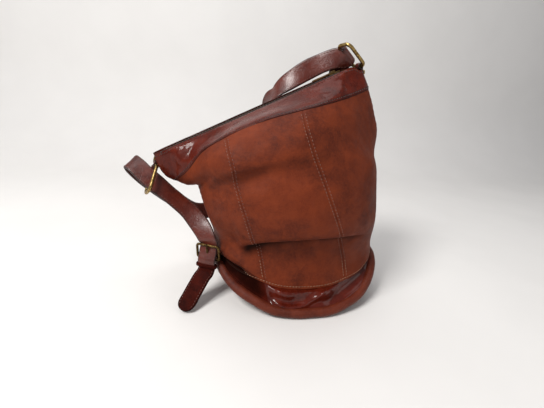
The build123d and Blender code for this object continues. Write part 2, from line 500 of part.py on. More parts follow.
# the strap runs behind the buckle's upper bar and over its lower bar
UPPER_CLEAR = 3.6
LOWER_CLEAR = 5.4
THROUGH = [
    (bk(0, -17.5, -LOWER_CLEAR + 0.6), BK_W),
    (bk(0, -9.0, -LOWER_CLEAR), BK_W),
    (bk(0, 0.0, -0.7), BK_W),
    (bk(0, 9.5, UPPER_CLEAR), BK_W),
]
STRAP = THROUGH + STRAP
SHIFT = len(THROUGH)
SLOT_W = 3.6
slot = Plane(origin=tuple(bk(0, -2.6, -1.0)), x_dir=tuple(BK_T), z_dir=tuple(BK_N)) * Box(14.6, SLOT_W, 16.0)
for name, a, b, n in SECTIONS:
    a0 = 0.0 if name == "strap_left_run" else a + SHIFT
    piece = ribbon(STRAP, STRAP_W, STRAP_T, n + (12 if name == "strap_left_run" else 0), a0, b + SHIFT)
    if name == "strap_left_run":
        piece = (piece - slot).solid()
    keep(name, piece)

bk_plane = frame_plane(BK_C, BK_W, BK_T)
keep("buckle_frame", wire_loop(bk_plane, BUCKLE_L, BUCKLE_S, 3.0, BUCKLE_WIRE))

# prong: eye round the lower bar, tongue resting on the upper bar's outer side
bar_plane = Plane(origin=tuple(bk(0, -BUCKLE_S, 0)), x_dir=tuple(BK_T), z_dir=tuple(BK_W))
prong_eye = bar_plane * Cylinder(BUCKLE_WIRE + 1.35, 2.4)
tip = bk(0, BUCKLE_S + 3.0, -3.4)
root = bk(0, -BUCKLE_S + 1.8, -0.9)
prong_arm = Plane(origin=tuple((tip + root) / 2), x_dir=tuple(BK_W), z_dir=tuple(unit(tip - root))) * \
    Cylinder(1.1, float(np.linalg.norm(tip - root)))
prong = (prong_eye + prong_arm) - bar_plane * Cylinder(BUCKLE_WIRE + 0.08, 6.0)
keep("buckle_prong", prong.solid())

# left base tab: leaves the foot band above the welt, folds round the lower bar
TAB_L_W = 12.0
eye_r = BUCKLE_WIRE + 0.3
tab_eye = (bar_plane * Cylinder(eye_r + 1.6, TAB_L_W))
tab_run = ribbon([
    (bk(0, -BUCKLE_S - 1.2, 2.4), BK_W),
    (bk(0.6, -9.8, 7.5), (0.88, -0.47, 0.0)),
    (bk(2.4, -9.2, 14.0), (0.78, -0.62, -0.05)),
    (skin(1.9, 0.5) + skin_normal(1.9, 0.5) * 0.5, (0.50, -0.86, -0.10)),
], TAB_L_W, 2.4, 19)
tab_left = (tab_eye + tab_run) - bar_plane * Cylinder(eye_r, TAB_L_W + 4) \
    - bar_plane * Box(9.0, 9.0, 3.2)
keep("base_tab_left", tab_left.solid())

# right base tab: leaves the foot band above the welt, sewn under the strap's end
end_in = np.array([0.6, 0.8, 0.0])
keep("base_tab_right", ribbon([
    (skin(0.9, 10.5) + skin_normal(0.9, 10.5) * 0.7, unit([-0.58, 0.74, -0.34])),
    (skin(1.7, 10.5) + skin_normal(1.7, 10.5) * 2.6, unit([-0.68, 0.70, -0.2])),
    (np.array([86.5, 53.0, 64.0]) - end_in * 3.0, unit([-0.78, 0.62, 0.0])),
    (np.array([86.1, 53.3, 76.0]) - end_in * 2.95, unit([-0.80, 0.60, 0.0])),
    (np.array([85.0, 54.4, 88.0]) - end_in * 3.05, unit([-0.81, 0.59, 0.0])),
], 18.0, 2.4, 17))

# keeper: leather loop round the strap just below the buckle
kp_plane = Plane(origin=tuple(bk(0, -14.9, -LOWER_CLEAR + 0.3)), x_dir=tuple(BK_W), z_dir=tuple(BK_T))
keeper = kp_plane * (Box(STRAP_W + 4.4, STRAP_T + 4.0, 3.2) - Box(STRAP_W + 0.8, STRAP_T + 1.0, 5))
keep("strap_keeper", keeper.solid())

# tail: the strap's free end, from just below the keeper to its rounded tip
TAIL_GAP = 1.8
t0 = bk(0, -17.5 - TAIL_GAP, -LOWER_CLEAR + 0.8)
TAIL = [
    (t0, BK_W),
    (np.array([-116.1, -37.0, 34.0]), (0.89, -0.44, -0.05)),
    (np.array([-120.6, -41.0, 29.0]), (0.87, -0.47, -0.12)),
    (np.array([-127.4, -49.0, 19.6]), (0.85, -0.48, -0.16)),
    (np.array([-133.8, -57.4, 10.8]), (0.86, -0.46, -0.12)),
    (np.array([-140.0, -66.6, 3.2]), (0.90, -0.42, -0.06)),
]


def tip_shape(s):
    k = max(0.0, (s - 4.1) / 0.9)
    return math.sqrt(max(0.0, 1 - min(k, 0.985) ** 2.4))


keep("strap_tail", ribbon(TAIL, STRAP_W - 1.0, STRAP_T - 0.2, 26, taper=tip_shape))
TAIL_HINGE = bk(0, -17.5 - TAIL_GAP / 2, -LOWER_CLEAR + 0.7)

# ---------------------------------------------------------------------- rivets
def rivet(p, axis, length):
    a = unit(axis)
    x = unit(np.cross(a, [0.3, 0.2, 0.93]))
    pl = Plane(origin=tuple(p), x_dir=tuple(x), z_dir=tuple(a))
    body = pl * Cylinder(1.1, length)
    head = pl * Pos(0, 0, length / 2 + 0.5) * Cylinder(2.6, 1.2)
    foot = pl * Pos(0, 0, -length / 2 - 0.5) * Cylinder(2.6, 1.2)
    return (body + head + foot).solid()


keep("ring_tab_rivets", Compound(children=[
    rivet((59.2, 0.9, 270.4), (0.97, 0.05, 0.22), 3.0),
    rivet((-172.9, 3.2, 159.6), (-0.95, -0.1, 0.24), 3.0)]))


# -------------------------------------------------------------------- outputs
total = 0
for name, shape in parts.items():
    export_step(shape, f"parts/{name}.step")
    total += 1
for label, v in (("tail hinge", TAIL_HINGE), ("buckle across", BK_W), ("buckle up", BK_T), ("buckle inward", BK_N),
                 ("prong axis", bk(0, -BUCKLE_S, 0)), ("mouth axis", mx), ("mouth out", mz), ("zip origin", zip_origin),
                 ("puller pivot", zip_origin + mx * PULL_X + mz * PULL_Z),
                 ("ring right hinge", RR_C + RR_L * RING_L), ("ring right axis", RR_S), ("ring right long", RR_L),
                 ("ring left hinge", LR_C + LR_L * RING_L), ("ring left axis", LR_S), ("ring left long", LR_L)):
    print(label, [round(float(q), 3) for q in v])
print("nodes", total)
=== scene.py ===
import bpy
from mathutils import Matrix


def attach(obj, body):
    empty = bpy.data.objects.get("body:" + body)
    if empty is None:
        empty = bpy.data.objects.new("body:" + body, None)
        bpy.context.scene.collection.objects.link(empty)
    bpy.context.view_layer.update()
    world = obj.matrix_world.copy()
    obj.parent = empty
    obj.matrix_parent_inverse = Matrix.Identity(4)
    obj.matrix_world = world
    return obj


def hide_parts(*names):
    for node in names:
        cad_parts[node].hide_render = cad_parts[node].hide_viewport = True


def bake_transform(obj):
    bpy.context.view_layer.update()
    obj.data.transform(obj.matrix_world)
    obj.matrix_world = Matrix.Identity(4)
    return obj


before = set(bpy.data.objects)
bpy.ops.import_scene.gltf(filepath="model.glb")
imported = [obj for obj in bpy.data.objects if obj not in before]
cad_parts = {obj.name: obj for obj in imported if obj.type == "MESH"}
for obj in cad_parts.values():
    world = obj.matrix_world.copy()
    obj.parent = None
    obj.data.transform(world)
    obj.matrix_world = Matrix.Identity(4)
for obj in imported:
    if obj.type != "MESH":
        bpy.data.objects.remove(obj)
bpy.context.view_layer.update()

import math

import bpy
import bmesh
import numpy as np
from mathutils import Matrix, Vector, noise

MM = 0.001
scene = bpy.context.scene

# ----------------------------------------------------------------- dimensions
# Outer surface of the bag in mm: rows go up, columns go round (see surf()).
NET = np.array([
    [(-103.0, -0.0, 44.0), (-95.9, -36.5, 36.9), (-75.2, -63.0, 20.4), (-42.9, -79.6, 6.3), (-14.6, -84.6, 4.8), (20.0, -84.0, 5.3), (47.1, -77.9, 9.0), (76.7, -60.8, 24.4), (95.5, -35.1, 40.4), (102.0, -0.0, 47.0), (95.6, 34.1, 40.4), (76.9, 59.3, 24.5), (47.5, 75.9, 9.1), (17.5, 82.3, 5.3), (-18.5, 82.3, 4.7), (-48.5, 75.9, 7.7), (-77.9, 59.3, 22.2), (-96.6, 34.1, 37.6)],
    [(-101.5, -0.0, 49.0), (-94.8, -33.2, 43.1), (-75.4, -57.5, 29.2), (-44.9, -73.2, 16.6), (-15.8, -78.5, 14.8), (20.3, -78.0, 15.3), (48.5, -71.8, 19.1), (76.8, -55.9, 32.6), (94.8, -32.1, 46.4), (101.0, -0.0, 52.0), (94.7, 32.9, 46.4), (76.2, 57.1, 32.8), (47.2, 73.2, 19.6), (17.5, 79.3, 16.3), (-18.0, 79.3, 15.7), (-47.7, 73.2, 18.2), (-76.7, 57.1, 30.5), (-95.2, 32.9, 43.6)],
    [(-100.5, -0.0, 54.0), (-94.4, -28.6, 50.2), (-76.5, -49.6, 41.2), (-48.3, -63.7, 32.5), (-18.3, -69.4, 30.7), (19.4, -69.2, 31.3), (49.0, -63.2, 34.3), (76.3, -49.0, 43.8), (93.6, -28.1, 53.2), (99.5, -0.0, 57.0), (93.2, 31.7, 53.5), (75.0, 55.0, 44.9), (46.3, 70.5, 36.5), (17.0, 76.3, 34.3), (-18.0, 76.3, 33.7), (-47.3, 70.5, 35.1), (-76.0, 55.0, 42.6), (-94.2, 31.7, 50.7)],
    [(-103.5, -0.0, 64.0), (-97.5, -25.6, 63.0), (-80.1, -45.3, 60.6), (-52.8, -58.9, 58.3), (-23.0, -65.0, 57.8), (13.9, -65.5, 58.2), (44.7, -60.5, 59.0), (74.7, -47.0, 61.8), (93.9, -26.8, 64.8), (100.5, -0.0, 66.0), (94.0, 30.6, 65.1), (75.0, 53.8, 63.0), (45.4, 69.4, 60.9), (15.7, 75.3, 60.2), (-18.7, 75.3, 59.8), (-48.4, 69.4, 59.9), (-78.0, 53.8, 61.5), (-97.0, 30.6, 63.2)],
    [(-108.0, -0.0, 76.0), (-102.4, -25.7, 77.0), (-86.2, -45.7, 79.6), (-60.5, -60.1, 82.4), (-32.0, -67.2, 83.7), (4.1, -68.9, 84.1), (36.3, -65.0, 84.2), (70.6, -51.4, 82.0), (92.8, -29.6, 79.2), (100.5, -0.0, 78.0), (93.8, 31.4, 79.1), (74.5, 55.3, 81.6), (44.2, 71.2, 83.9), (13.8, 77.3, 84.2), (-21.3, 77.3, 83.8), (-51.7, 71.2, 83.0), (-82.0, 55.3, 80.1), (-101.3, 31.4, 77.2)],
    [(-113.0, -0.0, 90.0), (-107.7, -28.9, 91.6), (-92.2, -51.6, 95.9), (-67.8, -68.3, 100.6), (-40.6, -77.1, 103.3), (-6.9, -80.0, 104.0), (26.5, -77.0, 104.5), (64.9, -61.9, 101.4), (89.8, -35.9, 96.3), (98.5, -0.0, 94.0), (91.7, 31.8, 95.8), (72.1, 56.0, 100.2), (41.4, 72.1, 104.0), (10.6, 78.3, 104.3), (-25.1, 78.3, 103.7), (-55.9, 72.1, 102.1), (-86.6, 56.0, 97.2), (-106.2, 31.8, 92.1)],
    [(-118.0, -0.0, 104.0), (-112.9, -29.4, 106.0), (-97.8, -53.3, 111.3), (-74.2, -71.4, 117.6), (-47.9, -81.4, 121.7), (-17.0, -85.4, 123.7), (16.4, -83.3, 125.6), (58.2, -67.6, 123.9), (85.8, -39.0, 118.6), (95.5, -0.0, 116.0), (88.5, 30.4, 117.6), (68.3, 54.1, 121.2), (37.0, 70.2, 123.8), (6.0, 76.3, 123.0), (-28.5, 76.3, 121.0), (-59.5, 70.2, 118.4), (-90.8, 54.1, 112.3), (-111.0, 30.4, 106.4)],
    [(-122.0, -0.0, 118.0), (-117.2, -27.0, 120.6), (-103.1, -50.0, 127.6), (-80.8, -67.9, 136.4), (-55.8, -78.5, 142.9), (-26.9, -83.6, 146.7), (4.9, -82.8, 150.2), (50.3, -68.2, 151.2), (81.1, -39.2, 145.3), (92.0, -0.0, 142.0), (84.8, 27.4, 143.9), (64.2, 49.5, 148.1), (32.4, 64.5, 150.3), (1.6, 70.3, 147.9), (-31.6, 70.3, 144.1), (-62.4, 64.5, 139.6), (-94.2, 49.5, 130.3), (-114.8, 27.4, 121.5)],
    [(-125.0, -0.0, 128.0), (-120.4, -24.3, 131.6), (-107.0, -45.0, 141.1), (-85.7, -61.4, 153.3), (-62.6, -71.1, 162.7), (-36.0, -76.2, 168.8), (-5.9, -76.5, 174.5), (42.3, -64.2, 179.0), (75.3, -37.3, 172.4), (87.0, -0.0, 168.0), (79.9, 23.9, 170.1), (59.4, 43.2, 174.3), (28.0, 56.4, 175.5), (-2.6, 61.4, 171.1), (-35.4, 61.4, 164.9), (-66.0, 56.4, 157.8), (-97.4, 43.2, 144.7), (-117.9, 23.9, 132.8)],
    [(-127.2, 0.0, 131.3), (-117.8, -32.0, 144.6), (-106.1, -56.0, 157.7), (-88.5, -70.0, 166.8), (-65.9, -76.0, 174.8), (-39.9, -79.0, 183.1), (-13.4, -77.0, 189.7), (24.5, -62.0, 196.5), (57.0, -36.0, 200.8), (88.7, 0.0, 205.7), (57.0, 26.6, 200.8), (24.5, 45.9, 196.5), (-13.4, 57.0, 189.7), (-39.9, 58.5, 183.1), (-65.9, 56.2, 174.8), (-88.5, 51.8, 166.8), (-106.1, 41.4, 157.7), (-117.8, 23.7, 144.6)],
    [(-138.8, 0.0, 131.0), (-127.4, -30.0, 148.3), (-114.2, -50.0, 169.4), (-93.0, -62.0, 182.6), (-69.8, -68.0, 192.3), (-44.7, -71.0, 200.6), (-19.5, -70.0, 207.5), (14.7, -57.0, 216.4), (48.3, -33.0, 224.3), (77.6, 0.0, 232.3), (48.3, 22.4, 224.3), (14.7, 38.8, 216.4), (-19.5, 47.6, 207.5), (-44.7, 48.3, 200.6), (-69.8, 46.2, 192.3), (-93.0, 42.2, 182.6), (-114.2, 34.0, 169.4), (-127.4, 20.4, 148.3)],
    [(-152.3, 0.0, 136.7), (-136.6, -20.0, 153.3), (-118.8, -34.0, 177.5), (-95.7, -44.0, 194.5), (-73.5, -50.0, 207.1), (-48.6, -53.0, 217.5), (-21.9, -53.0, 225.9), (6.9, -45.0, 234.3), (37.2, -27.0, 243.2), (66.0, 0.0, 252.9), (37.2, 18.9, 243.2), (6.9, 31.5, 234.3), (-21.9, 37.1, 225.9), (-48.6, 37.1, 217.5), (-73.5, 35.0, 207.1), (-95.7, 30.8, 194.5), (-118.8, 23.8, 177.5), (-136.6, 14.0, 153.3)],
    [(-165.3, 0.0, 145.9), (-147.6, -14.0, 163.9), (-123.6, -20.0, 180.3), (-99.4, -25.0, 197.1), (-73.7, -28.0, 211.2), (-47.1, -30.0, 223.2), (-20.1, -30.0, 235.1), (7.4, -26.0, 246.6), (34.8, -16.0, 257.6), (58.5, 0.0, 266.5), (34.8, 12.8, 257.6), (7.4, 20.8, 246.6), (-20.1, 24.0, 235.1), (-47.1, 24.0, 223.2), (-73.7, 22.4, 211.2), (-99.4, 20.0, 197.1), (-123.6, 16.0, 180.3), (-147.6, 11.2, 163.9)],
    [(-175.0, 0.0, 167.0), (-160.1, -8.1, 174.5), (-134.8, -8.5, 187.1), (-106.0, -8.5, 201.5), (-76.1, -8.5, 216.4), (-47.3, -8.5, 230.8), (-19.8, -8.5, 244.6), (6.7, -8.5, 257.9), (32.0, -8.1, 270.5), (55.0, 0.0, 282.0), (32.0, 8.1, 270.5), (6.7, 8.5, 257.9), (-19.8, 8.5, 244.6), (-47.3, 8.5, 230.8), (-76.1, 8.5, 216.4), (-106.0, 8.5, 201.5), (-134.8, 8.5, 187.1), (-160.1, 8.1, 174.5)],
])
STRAP = [
    ((-114.6, -30.4, 75.2), (0.86, -0.30, 0.28)),
    ((-119.0, -25.8, 83.2), (0.80, 0.0, 0.44)),
    ((-126.0, -19.0, 91.8), (0.70, 0.30, 0.49)),
    ((-135.6, -12.2, 101.8), (0.62, 0.56, 0.45)),
    ((-147.7, -8.6, 112.0), (0.53, 0.70, 0.42)),
    ((-160.6, -7.0, 122.9), (0.48, 0.72, 0.48)),
    ((-173.2, -6.0, 133.8), (0.50, 0.60, 0.62)),
    ((-184.0, -2.6, 142.4), (0.52, 0.62, 0.58)),
    ((-194.5, 3.4, 151.2), (0.48, 0.72, 0.49)),
    ((-201.8, 9.8, 153.8), (0.44, 0.76, 0.48)),
    ((-201.6, 15.2, 147.4), (0.42, 0.76, 0.50)),
    ((-190.0, 19.0, 133.5), (0.42, 0.70, 0.58)),
    ((-171.5, 24.0, 116.0), (0.42, 0.68, 0.60)),
    ((-152.0, 31.0, 99.0), (0.40, 0.72, 0.52)),
    ((-130.0, 43.0, 82.5), (0.30, 0.78, 0.50)),
    ((-104.0, 64.5, 77.5), (0.20, 0.46, 0.84)),
    ((-76.0, 85.0, 84.0), (0.05, 0.05, 1.0)),
    ((-49.0, 92.0, 95.0), (-0.35, 0.0, 0.93)),
    ((-30.0, 92.0, 117.0), (-0.80, -0.02, 0.58)),
    ((-23.0, 86.0, 146.0), (-0.99, -0.02, 0.14)),
    ((-27.0, 74.0, 176.0), (-0.98, 0.10, 0.10)),
    ((-34.9, 64.3, 208.8), (-0.80, 0.58, 0.14)),
    ((-40.5, 41.8, 229.1), (-0.38, 0.91, 0.18)),
    ((-38.0, 28.6, 239.0), (-0.16, 0.93, 0.34)),
    ((-29.8, 24.6, 250.0), (-0.22, 0.86, 0.46)),
    ((-18.7, 21.6, 259.3), (-0.26, 0.76, 0.59)),
    ((-3.7, 19.1, 268.6), (-0.25, 0.63, 0.74)),
    ((14.6, 12.6, 277.4), (-0.28, 0.45, 0.84)),
    ((27.0, 6.8, 282.6), (-0.48, 0.22, 0.85)),
    ((37.9, 3.1, 282.9), (-0.75, -0.20, 0.63)),
    ((41.2, 2.9, 287.0), (-0.788, -0.236, 0.569)),
    ((42.3, 6.8, 289.8), (-0.788, -0.236, 0.569)),
    ((40.2, 11.2, 288.7), (-0.788, -0.236, 0.569)),
    ((38.0, 19.0, 274.0), (-0.87, 0.02, 0.45)),
    ((39.5, 25.5, 257.0), (-0.93, 0.18, 0.24)),
    ((46.0, 32.5, 236.0), (-0.93, 0.30, 0.12)),
    ((55.0, 39.5, 211.0), (-0.92, 0.36, 0.10)),
    ((65.0, 46.5, 183.0), (-0.91, 0.40, 0.08)),
    ((73.0, 52.0, 154.0), (-0.88, 0.46, 0.06)),
    ((79.0, 55.5, 124.0), (-0.84, 0.54, 0.04)),
    ((83.5, 55.5, 96.0), (-0.82, 0.57, 0.0)),
    ((86.5, 53.0, 70.0), (-0.80, 0.60, 0.0)),
]
BASE_A, BASE_B, BASE_N = 103.0, 84.0, 2.25
CURL_L, CURL_R, FLAT = 39.0, 42.0, 0.35
WELT_R = 4.8
MOUTH_L, MOUTH_R = np.array([-175.0, 0, 167.0]), np.array([55.0, 0, 282.0])


def unit(v):
    v = np.asarray(v, float)
    return v / np.maximum(np.linalg.norm(v, axis=-1, keepdims=True), 1e-12)


PAD = np.concatenate([2 * NET[:1] - NET[1:2], NET, 2 * NET[-1:] - NET[-2:-1]])
COLS = NET.shape[1]


def weights(t):
    t2, t3 = t * t, t * t * t
    return np.stack([-t + 2 * t2 - t3, 2 - 5 * t2 + 3 * t3, t + 4 * t2 - 3 * t3, -t2 + t3], -1) * 0.5


def surf(S, C):
    """Points of the bag's outer surface (mm) at rows S and columns C."""
    S, C = np.broadcast_arrays(np.asarray(S, float), np.asarray(C, float))
    i = np.clip(np.floor(S).astype(int), 0, len(NET) - 2)
    j = np.floor(C).astype(int)
    ws, wc = weights(S - i), weights(C - j)
    out = np.zeros(S.shape + (3,))
    for a in range(4):
        row = np.zeros(S.shape + (3,))
        for b in range(4):
            row += wc[..., b, None] * PAD[i + a, (j - 1 + b) % COLS]
        out += ws[..., a, None] * row
    return out


def surf_normal(S, C):
    e = 0.02
    S = np.clip(S, 0, 13 - 1e-6)
    up = surf(np.minimum(S + e, 13), C) - surf(np.maximum(S - e, 0), C)
    along = surf(S, C + e) - surf(S, C - e)
    return unit(np.cross(along, up))


def smooth(x, a, b):
    t = np.clip((x - a) / (b - a), 0, 1)
    return t * t * (3 - 2 * t)


def bump(x, centre, width):
    return np.exp(-((x - centre) / width) ** 2)


def fbm(P, scale, seed=0.0, octaves=3, rough=0.5):
    """Noise in -1..1 at points P (mm), features about scale mm across."""
    shape = P.shape[:-1]
    flat = P.reshape(-1, 3) / scale + seed
    out = np.empty(len(flat))
    for k, p in enumerate(flat):
        v, amp, tot = 0.0, 1.0, 0.0
        q = Vector(p)
        for _ in range(octaves):
            v += amp * noise.noise(q)
            tot += amp
            amp *= rough
            q = q * 2.03
        out[k] = v / tot
    return out.reshape(shape)


def polyline_dist(P, line):
    """Distance (mm) from each point to a polyline, and how far along it."""
    line = np.asarray(line, float)
    best = np.full(P.shape[:-1], 1e9)
    along = np.zeros(P.shape[:-1])
    n = len(line) - 1
    for k in range(n):
        a, b = line[k], line[k + 1]
        d = b - a
        t = np.clip(((P - a) @ d) / max(d @ d, 1e-9), 0, 1)
        q = np.linalg.norm(P - (a + t[..., None] * d), axis=-1)
        m = q < best
        best = np.where(m, q, best)
        along = np.where(m, (k + t) / n, along)
    return best, along


# ------------------------------------------------------------- mesh building
def new_object(name, verts, faces, mat=None, smooth_shade=True):
    me = bpy.data.meshes.new(name)
    me.from_pydata([tuple(v) for v in np.asarray(verts)], [], faces)
    me.validate()
    bm = bmesh.new()
    bm.from_mesh(me)
    bmesh.ops.recalc_face_normals(bm, faces=bm.faces)
    bm.to_mesh(me)
    bm.free()
    me.update()
    if smooth_shade:
        me.polygons.foreach_set("use_smooth", [True] * len(me.polygons))
    ob = bpy.data.objects.new(name, me)
    scene.collection.objects.link(ob)
    if mat:
        me.materials.append(mat)
    return ob


def set_attr(ob, name, values):
    a = ob.data.attributes.new(name, "FLOAT", "POINT")
    a.data.foreach_set("value", np.asarray(values, np.float32).ravel())


def grid_faces(n, m, wrap=False, off=0, flip=False):
    out = []
    for i in range(n - 1):
        for j in range(m if wrap else m - 1):
            a, b = off + i * m + j, off + i * m + (j + 1) % m
            c, d = off + (i + 1) * m + (j + 1) % m, off + (i + 1) * m + j
            out.append((a, d, c, b) if flip else (a, b, c, d))
    return out


def sheet_object(name, outer, inner, mat, wrap=False, attrs=None):
    """Closed sheet between two grids of points in mm; rows x columns."""
    n, m = outer.shape[:2]
    V = np.concatenate([outer.reshape(-1, 3), inner.reshape(-1, 3)]) * MM
    k = n * m
    F = grid_faces(n, m, wrap) + grid_faces(n, m, wrap, k, True)
    for j in range(m if wrap else m - 1):
        a, b = j, (j + 1) % m
        F.append((b, a, k + a, k + b))
        a, b = (n - 1) * m + j, (n - 1) * m + (j + 1) % m
        F.append((a, b, k + b, k + a))
    if not wrap:
        for i in range(n - 1):
            a, b = i * m, (i + 1) * m
            F.append((a, b, k + b, k + a))
            a, b = i * m + m - 1, (i + 1) * m + m - 1
            F.append((b, a, k + a, k + b))
    ob = new_object(name, V, F, mat)
    for key, val in (attrs or {}).items():
        set_attr(ob, key, np.concatenate([val.ravel(), val.ravel()]))
    return ob


def tube_mesh(points, radius, sides=8, closed=False, radii=None):
    """Vertices and faces of a tube along points (metres)."""
    P = np.asarray(points, float)
    n = len(P)
    if closed:
        T = unit(np.roll(P, -1, 0) - np.roll(P, 1, 0))
    else:
        T = unit(np.gradient(P, axis=0))
    ref = np.array([0, 0, 1.0]) if abs(T[0][2]) < 0.9 else np.array([1.0, 0, 0])
    A = np.zeros_like(P)
    a = unit(np.cross(T[0], ref))
    for i in range(n):
        a = unit(a - (a @ T[i]) * T[i])
        A[i] = a
    B = np.cross(T, A)
    ang = np.linspace(0, 2 * math.pi, sides, endpoint=False)
    r = np.full(n, radius) if radii is None else np.asarray(radii)
    V = (P[:, None] + (A[:, None] * np.cos(ang)[None, :, None] + B[:, None] * np.sin(ang)[None, :, None]) * r[:, None, None]).reshape(-1, 3)
    F = []
    for i in range(n if closed else n - 1):
        for j in range(sides):
            p, q = i * sides + j, i * sides + (j + 1) % sides
            i2 = (i + 1) % n
            F.append((p, q, i2 * sides + (j + 1) % sides, i2 * sides + j))
    if not closed:
        F.append(tuple(range(sides - 1, -1, -1)))
        F.append(tuple((n - 1) * sides + j for j in range(sides)))
    return V, F


def merged(name, lumps, mat):
    V, F, off = [], [], 0
    for v, f in lumps:
        V.append(v)
        F.extend([tuple(i + off for i in q) for q in f])
        off += len(v)
    return new_object(name, np.concatenate(V), F, mat)


def arc_resample(P, step):
    P = np.asarray(P, float)
    d = np.concatenate([[0], np.cumsum(np.linalg.norm(np.diff(P, axis=0), axis=1))])
    n = max(2, int(round(d[-1] / step)) + 1)
    q = np.linspace(0, d[-1], n)
    return np.stack([np.interp(q, d, P[:, k]) for k in range(3)], 1)


def stitches(name, lines, mat, pitch=3.4, length=2.3, r=0.34, seed=3):
    """Threads of a sewn line: each line is (points mm, normals mm)."""
    rng = np.random.default_rng(seed)
    lumps = []
    for P, Nn in lines:
        P, Nn = np.asarray(P, float), np.asarray(Nn, float)
        d = np.concatenate([[0], np.cumsum(np.linalg.norm(np.diff(P, axis=0), axis=1))])
        x = pitch * 0.5
        while x + length < d[-1]:
            x0 = x + rng.uniform(-0.15, 0.15)
            ts = np.linspace(x0, x0 + length * rng.uniform(0.9, 1.05), 5)
            pts = np.stack([np.interp(ts, d, P[:, k]) for k in range(3)], 1)
            nn = unit(np.stack([np.interp(ts, d, Nn[:, k]) for k in range(3)], 1))
            lift = np.array([-0.35, 0.12, 0.2, 0.12, -0.35]) + rng.uniform(-0.04, 0.04)
            tang = unit(pts[-1] - pts[0])
            skew = np.cross(nn, tang) * np.linspace(-0.18, 0.18, 5)[:, None]
            v, f = tube_mesh((pts + nn * lift[:, None] + skew) * MM, r * MM, 6, radii=np.array([0.7, 1, 1.05, 1, 0.7]) * r * MM)
            lumps.append((v, f))
            x += pitch
    return merged(name, lumps, mat)


def stations_at(st, s):
    """Centre and cross direction at parameters s along (centre, cross) stations."""
    c = np.array([q[0] for q in st], float)
    w = unit(np.array([q[1] for q in st], float))
    last = len(st) - 1
    s = np.asarray(s, float)
    i = np.clip(np.floor(s).astype(int), 0, last - 1)
    k = weights(s - i)
    out = []
    for arr in (c, w):
        pad = np.concatenate([2 * arr[:1] - arr[1:2], arr, 2 * arr[-1:] - arr[-2:-1]])
        out.append(sum(k[:, a, None] * pad[i + a] for a in range(4)))
    return out[0], unit(out[1])


def even_params(st, s0, s1, step):
    ss = np.linspace(s0, s1, 1200)
    c, _ = stations_at(st, ss)
    d = np.concatenate([[0], np.cumsum(np.linalg.norm(np.diff(c, axis=0), axis=1))])
    n = max(4, int(round(d[-1] / step)) + 1)
    return np.interp(np.linspace(0, d[-1], n), d, ss), np.linspace(0, d[-1], n)


def strap_frame(st, s0, s1, step):
    s, d = even_params(st, s0, s1, step)
    c, w = stations_at(st, s)
    last = len(st) - 1
    ca, _ = stations_at(st, np.minimum(s + 0.02, last))
    cb, _ = stations_at(st, np.maximum(s - 0.02, 0))
    t = unit(ca - cb)
    w = unit(w - (w * t).sum(1, keepdims=True) * t)
    return s, d, c, w, unit(np.cross(t, w))


def strap_object(name, st, s0, s1, width, thick, mat, step=1.4, half=None, crown=0.35, ripple=0.25, seed=1.0, top_sign=1, round_ends=True):
    """Leather strip with rounded, slightly thinner edges along stations."""
    s, d, c, w, n = strap_frame(st, s0, s1, step)
    k = len(s)
    prof = []
    h, t = 1.0, thick / 2
    xs = np.concatenate([np.linspace(-1, 1, 17)])
    e = 0.5 * thick / (width / 2)
    xin = xs * (1 - e)
    for x in xin:
        prof.append((x, 1.0, 0))
    for a in np.radians([60, 30, 0, -30, -60]):
        prof.append((1 - e + e * math.cos(a), math.sin(a), 1))
    for x in xin[::-1]:
        prof.append((x, -1.0, 0))
    for a in np.radians([-60, -30, 0, 30, 60]):
        prof.append((-(1 - e + e * math.cos(a)), math.sin(a), 1))
    prof = np.array(prof)
    m = len(prof)
    hw = np.full(k, width / 2) if half is None else half(s)
    edge_ripple = fbm(np.stack([d, d * 0 + seed * 7, d * 0], 1), 16, seed, 2) * ripple
    x = prof[None, :, 0] * (hw + edge_ripple)[:, None]
    z = prof[None, :, 1] * t * np.ones((k, 1))
    inner = 1 - np.abs(prof[:, 0]) ** 4
    z = z + np.sign(prof[:, 1])[None] * crown * inner[None] * (np.abs(prof[:, 1]) > 0.9)[None]
    stitch_x = np.abs(np.abs(x) - (hw[:, None] - 2.2))
    z = z - np.sign(z) * 0.22 * np.exp(-(stitch_x / 0.55) ** 2) * (np.abs(prof[None, :, 1]) > 0.9)
    P = c[:, None] + w[:, None] * x[..., None] + n[:, None] * z[..., None]
    P = P + n[:, None] * (fbm(P * 0.5 + seed, 9, seed, 2) * 0.22 + fbm(P, 26, seed + 3, 2) * 0.35 * 0)[..., None]
    if round_ends:
        for side, idx in ((0, [0, 1]), (1, [k - 1, k - 2])):
            cen = c[idx[0]]
            P[idx[0]] = cen + (P[idx[0]] - cen) * 0.93
    V = P.reshape(-1, 3) * MM
    F = grid_faces(k, m, True)
    F.append(tuple(range(m - 1, -1, -1)))
    F.append(tuple((k - 1) * m + j for j in range(m)))
    ob = new_object(name, V, F, mat)
    edge = np.broadcast_to(prof[None, :, 2], (k, m)).copy()
    soft = np.clip((np.abs(x) - (hw[:, None] - 1.6)) / 1.6, 0, 1)
    set_attr(ob, "edge", np.maximum(edge, soft))
    set_attr(ob, "painted_shade", np.zeros((k, m)))
    return ob


def strap_stitch_lines(st, s0, s1, width, thick, both=True, margin=2.2, half=None, lift=0.05):
    s, d, c, w, n = strap_frame(st, s0, s1, 1.5)
    out = []
    hw = np.full(len(s), width / 2) if half is None else half(s)
    ok = hw > margin + 1.0
    for side in (-1, 1):
        for f in ((1, -1) if both else (1,)):
            P = c + w * (side * (hw - margin))[:, None] + n * f * (thick / 2 + lift)
            out.append((P[ok], (n * f)[ok]))
    return out


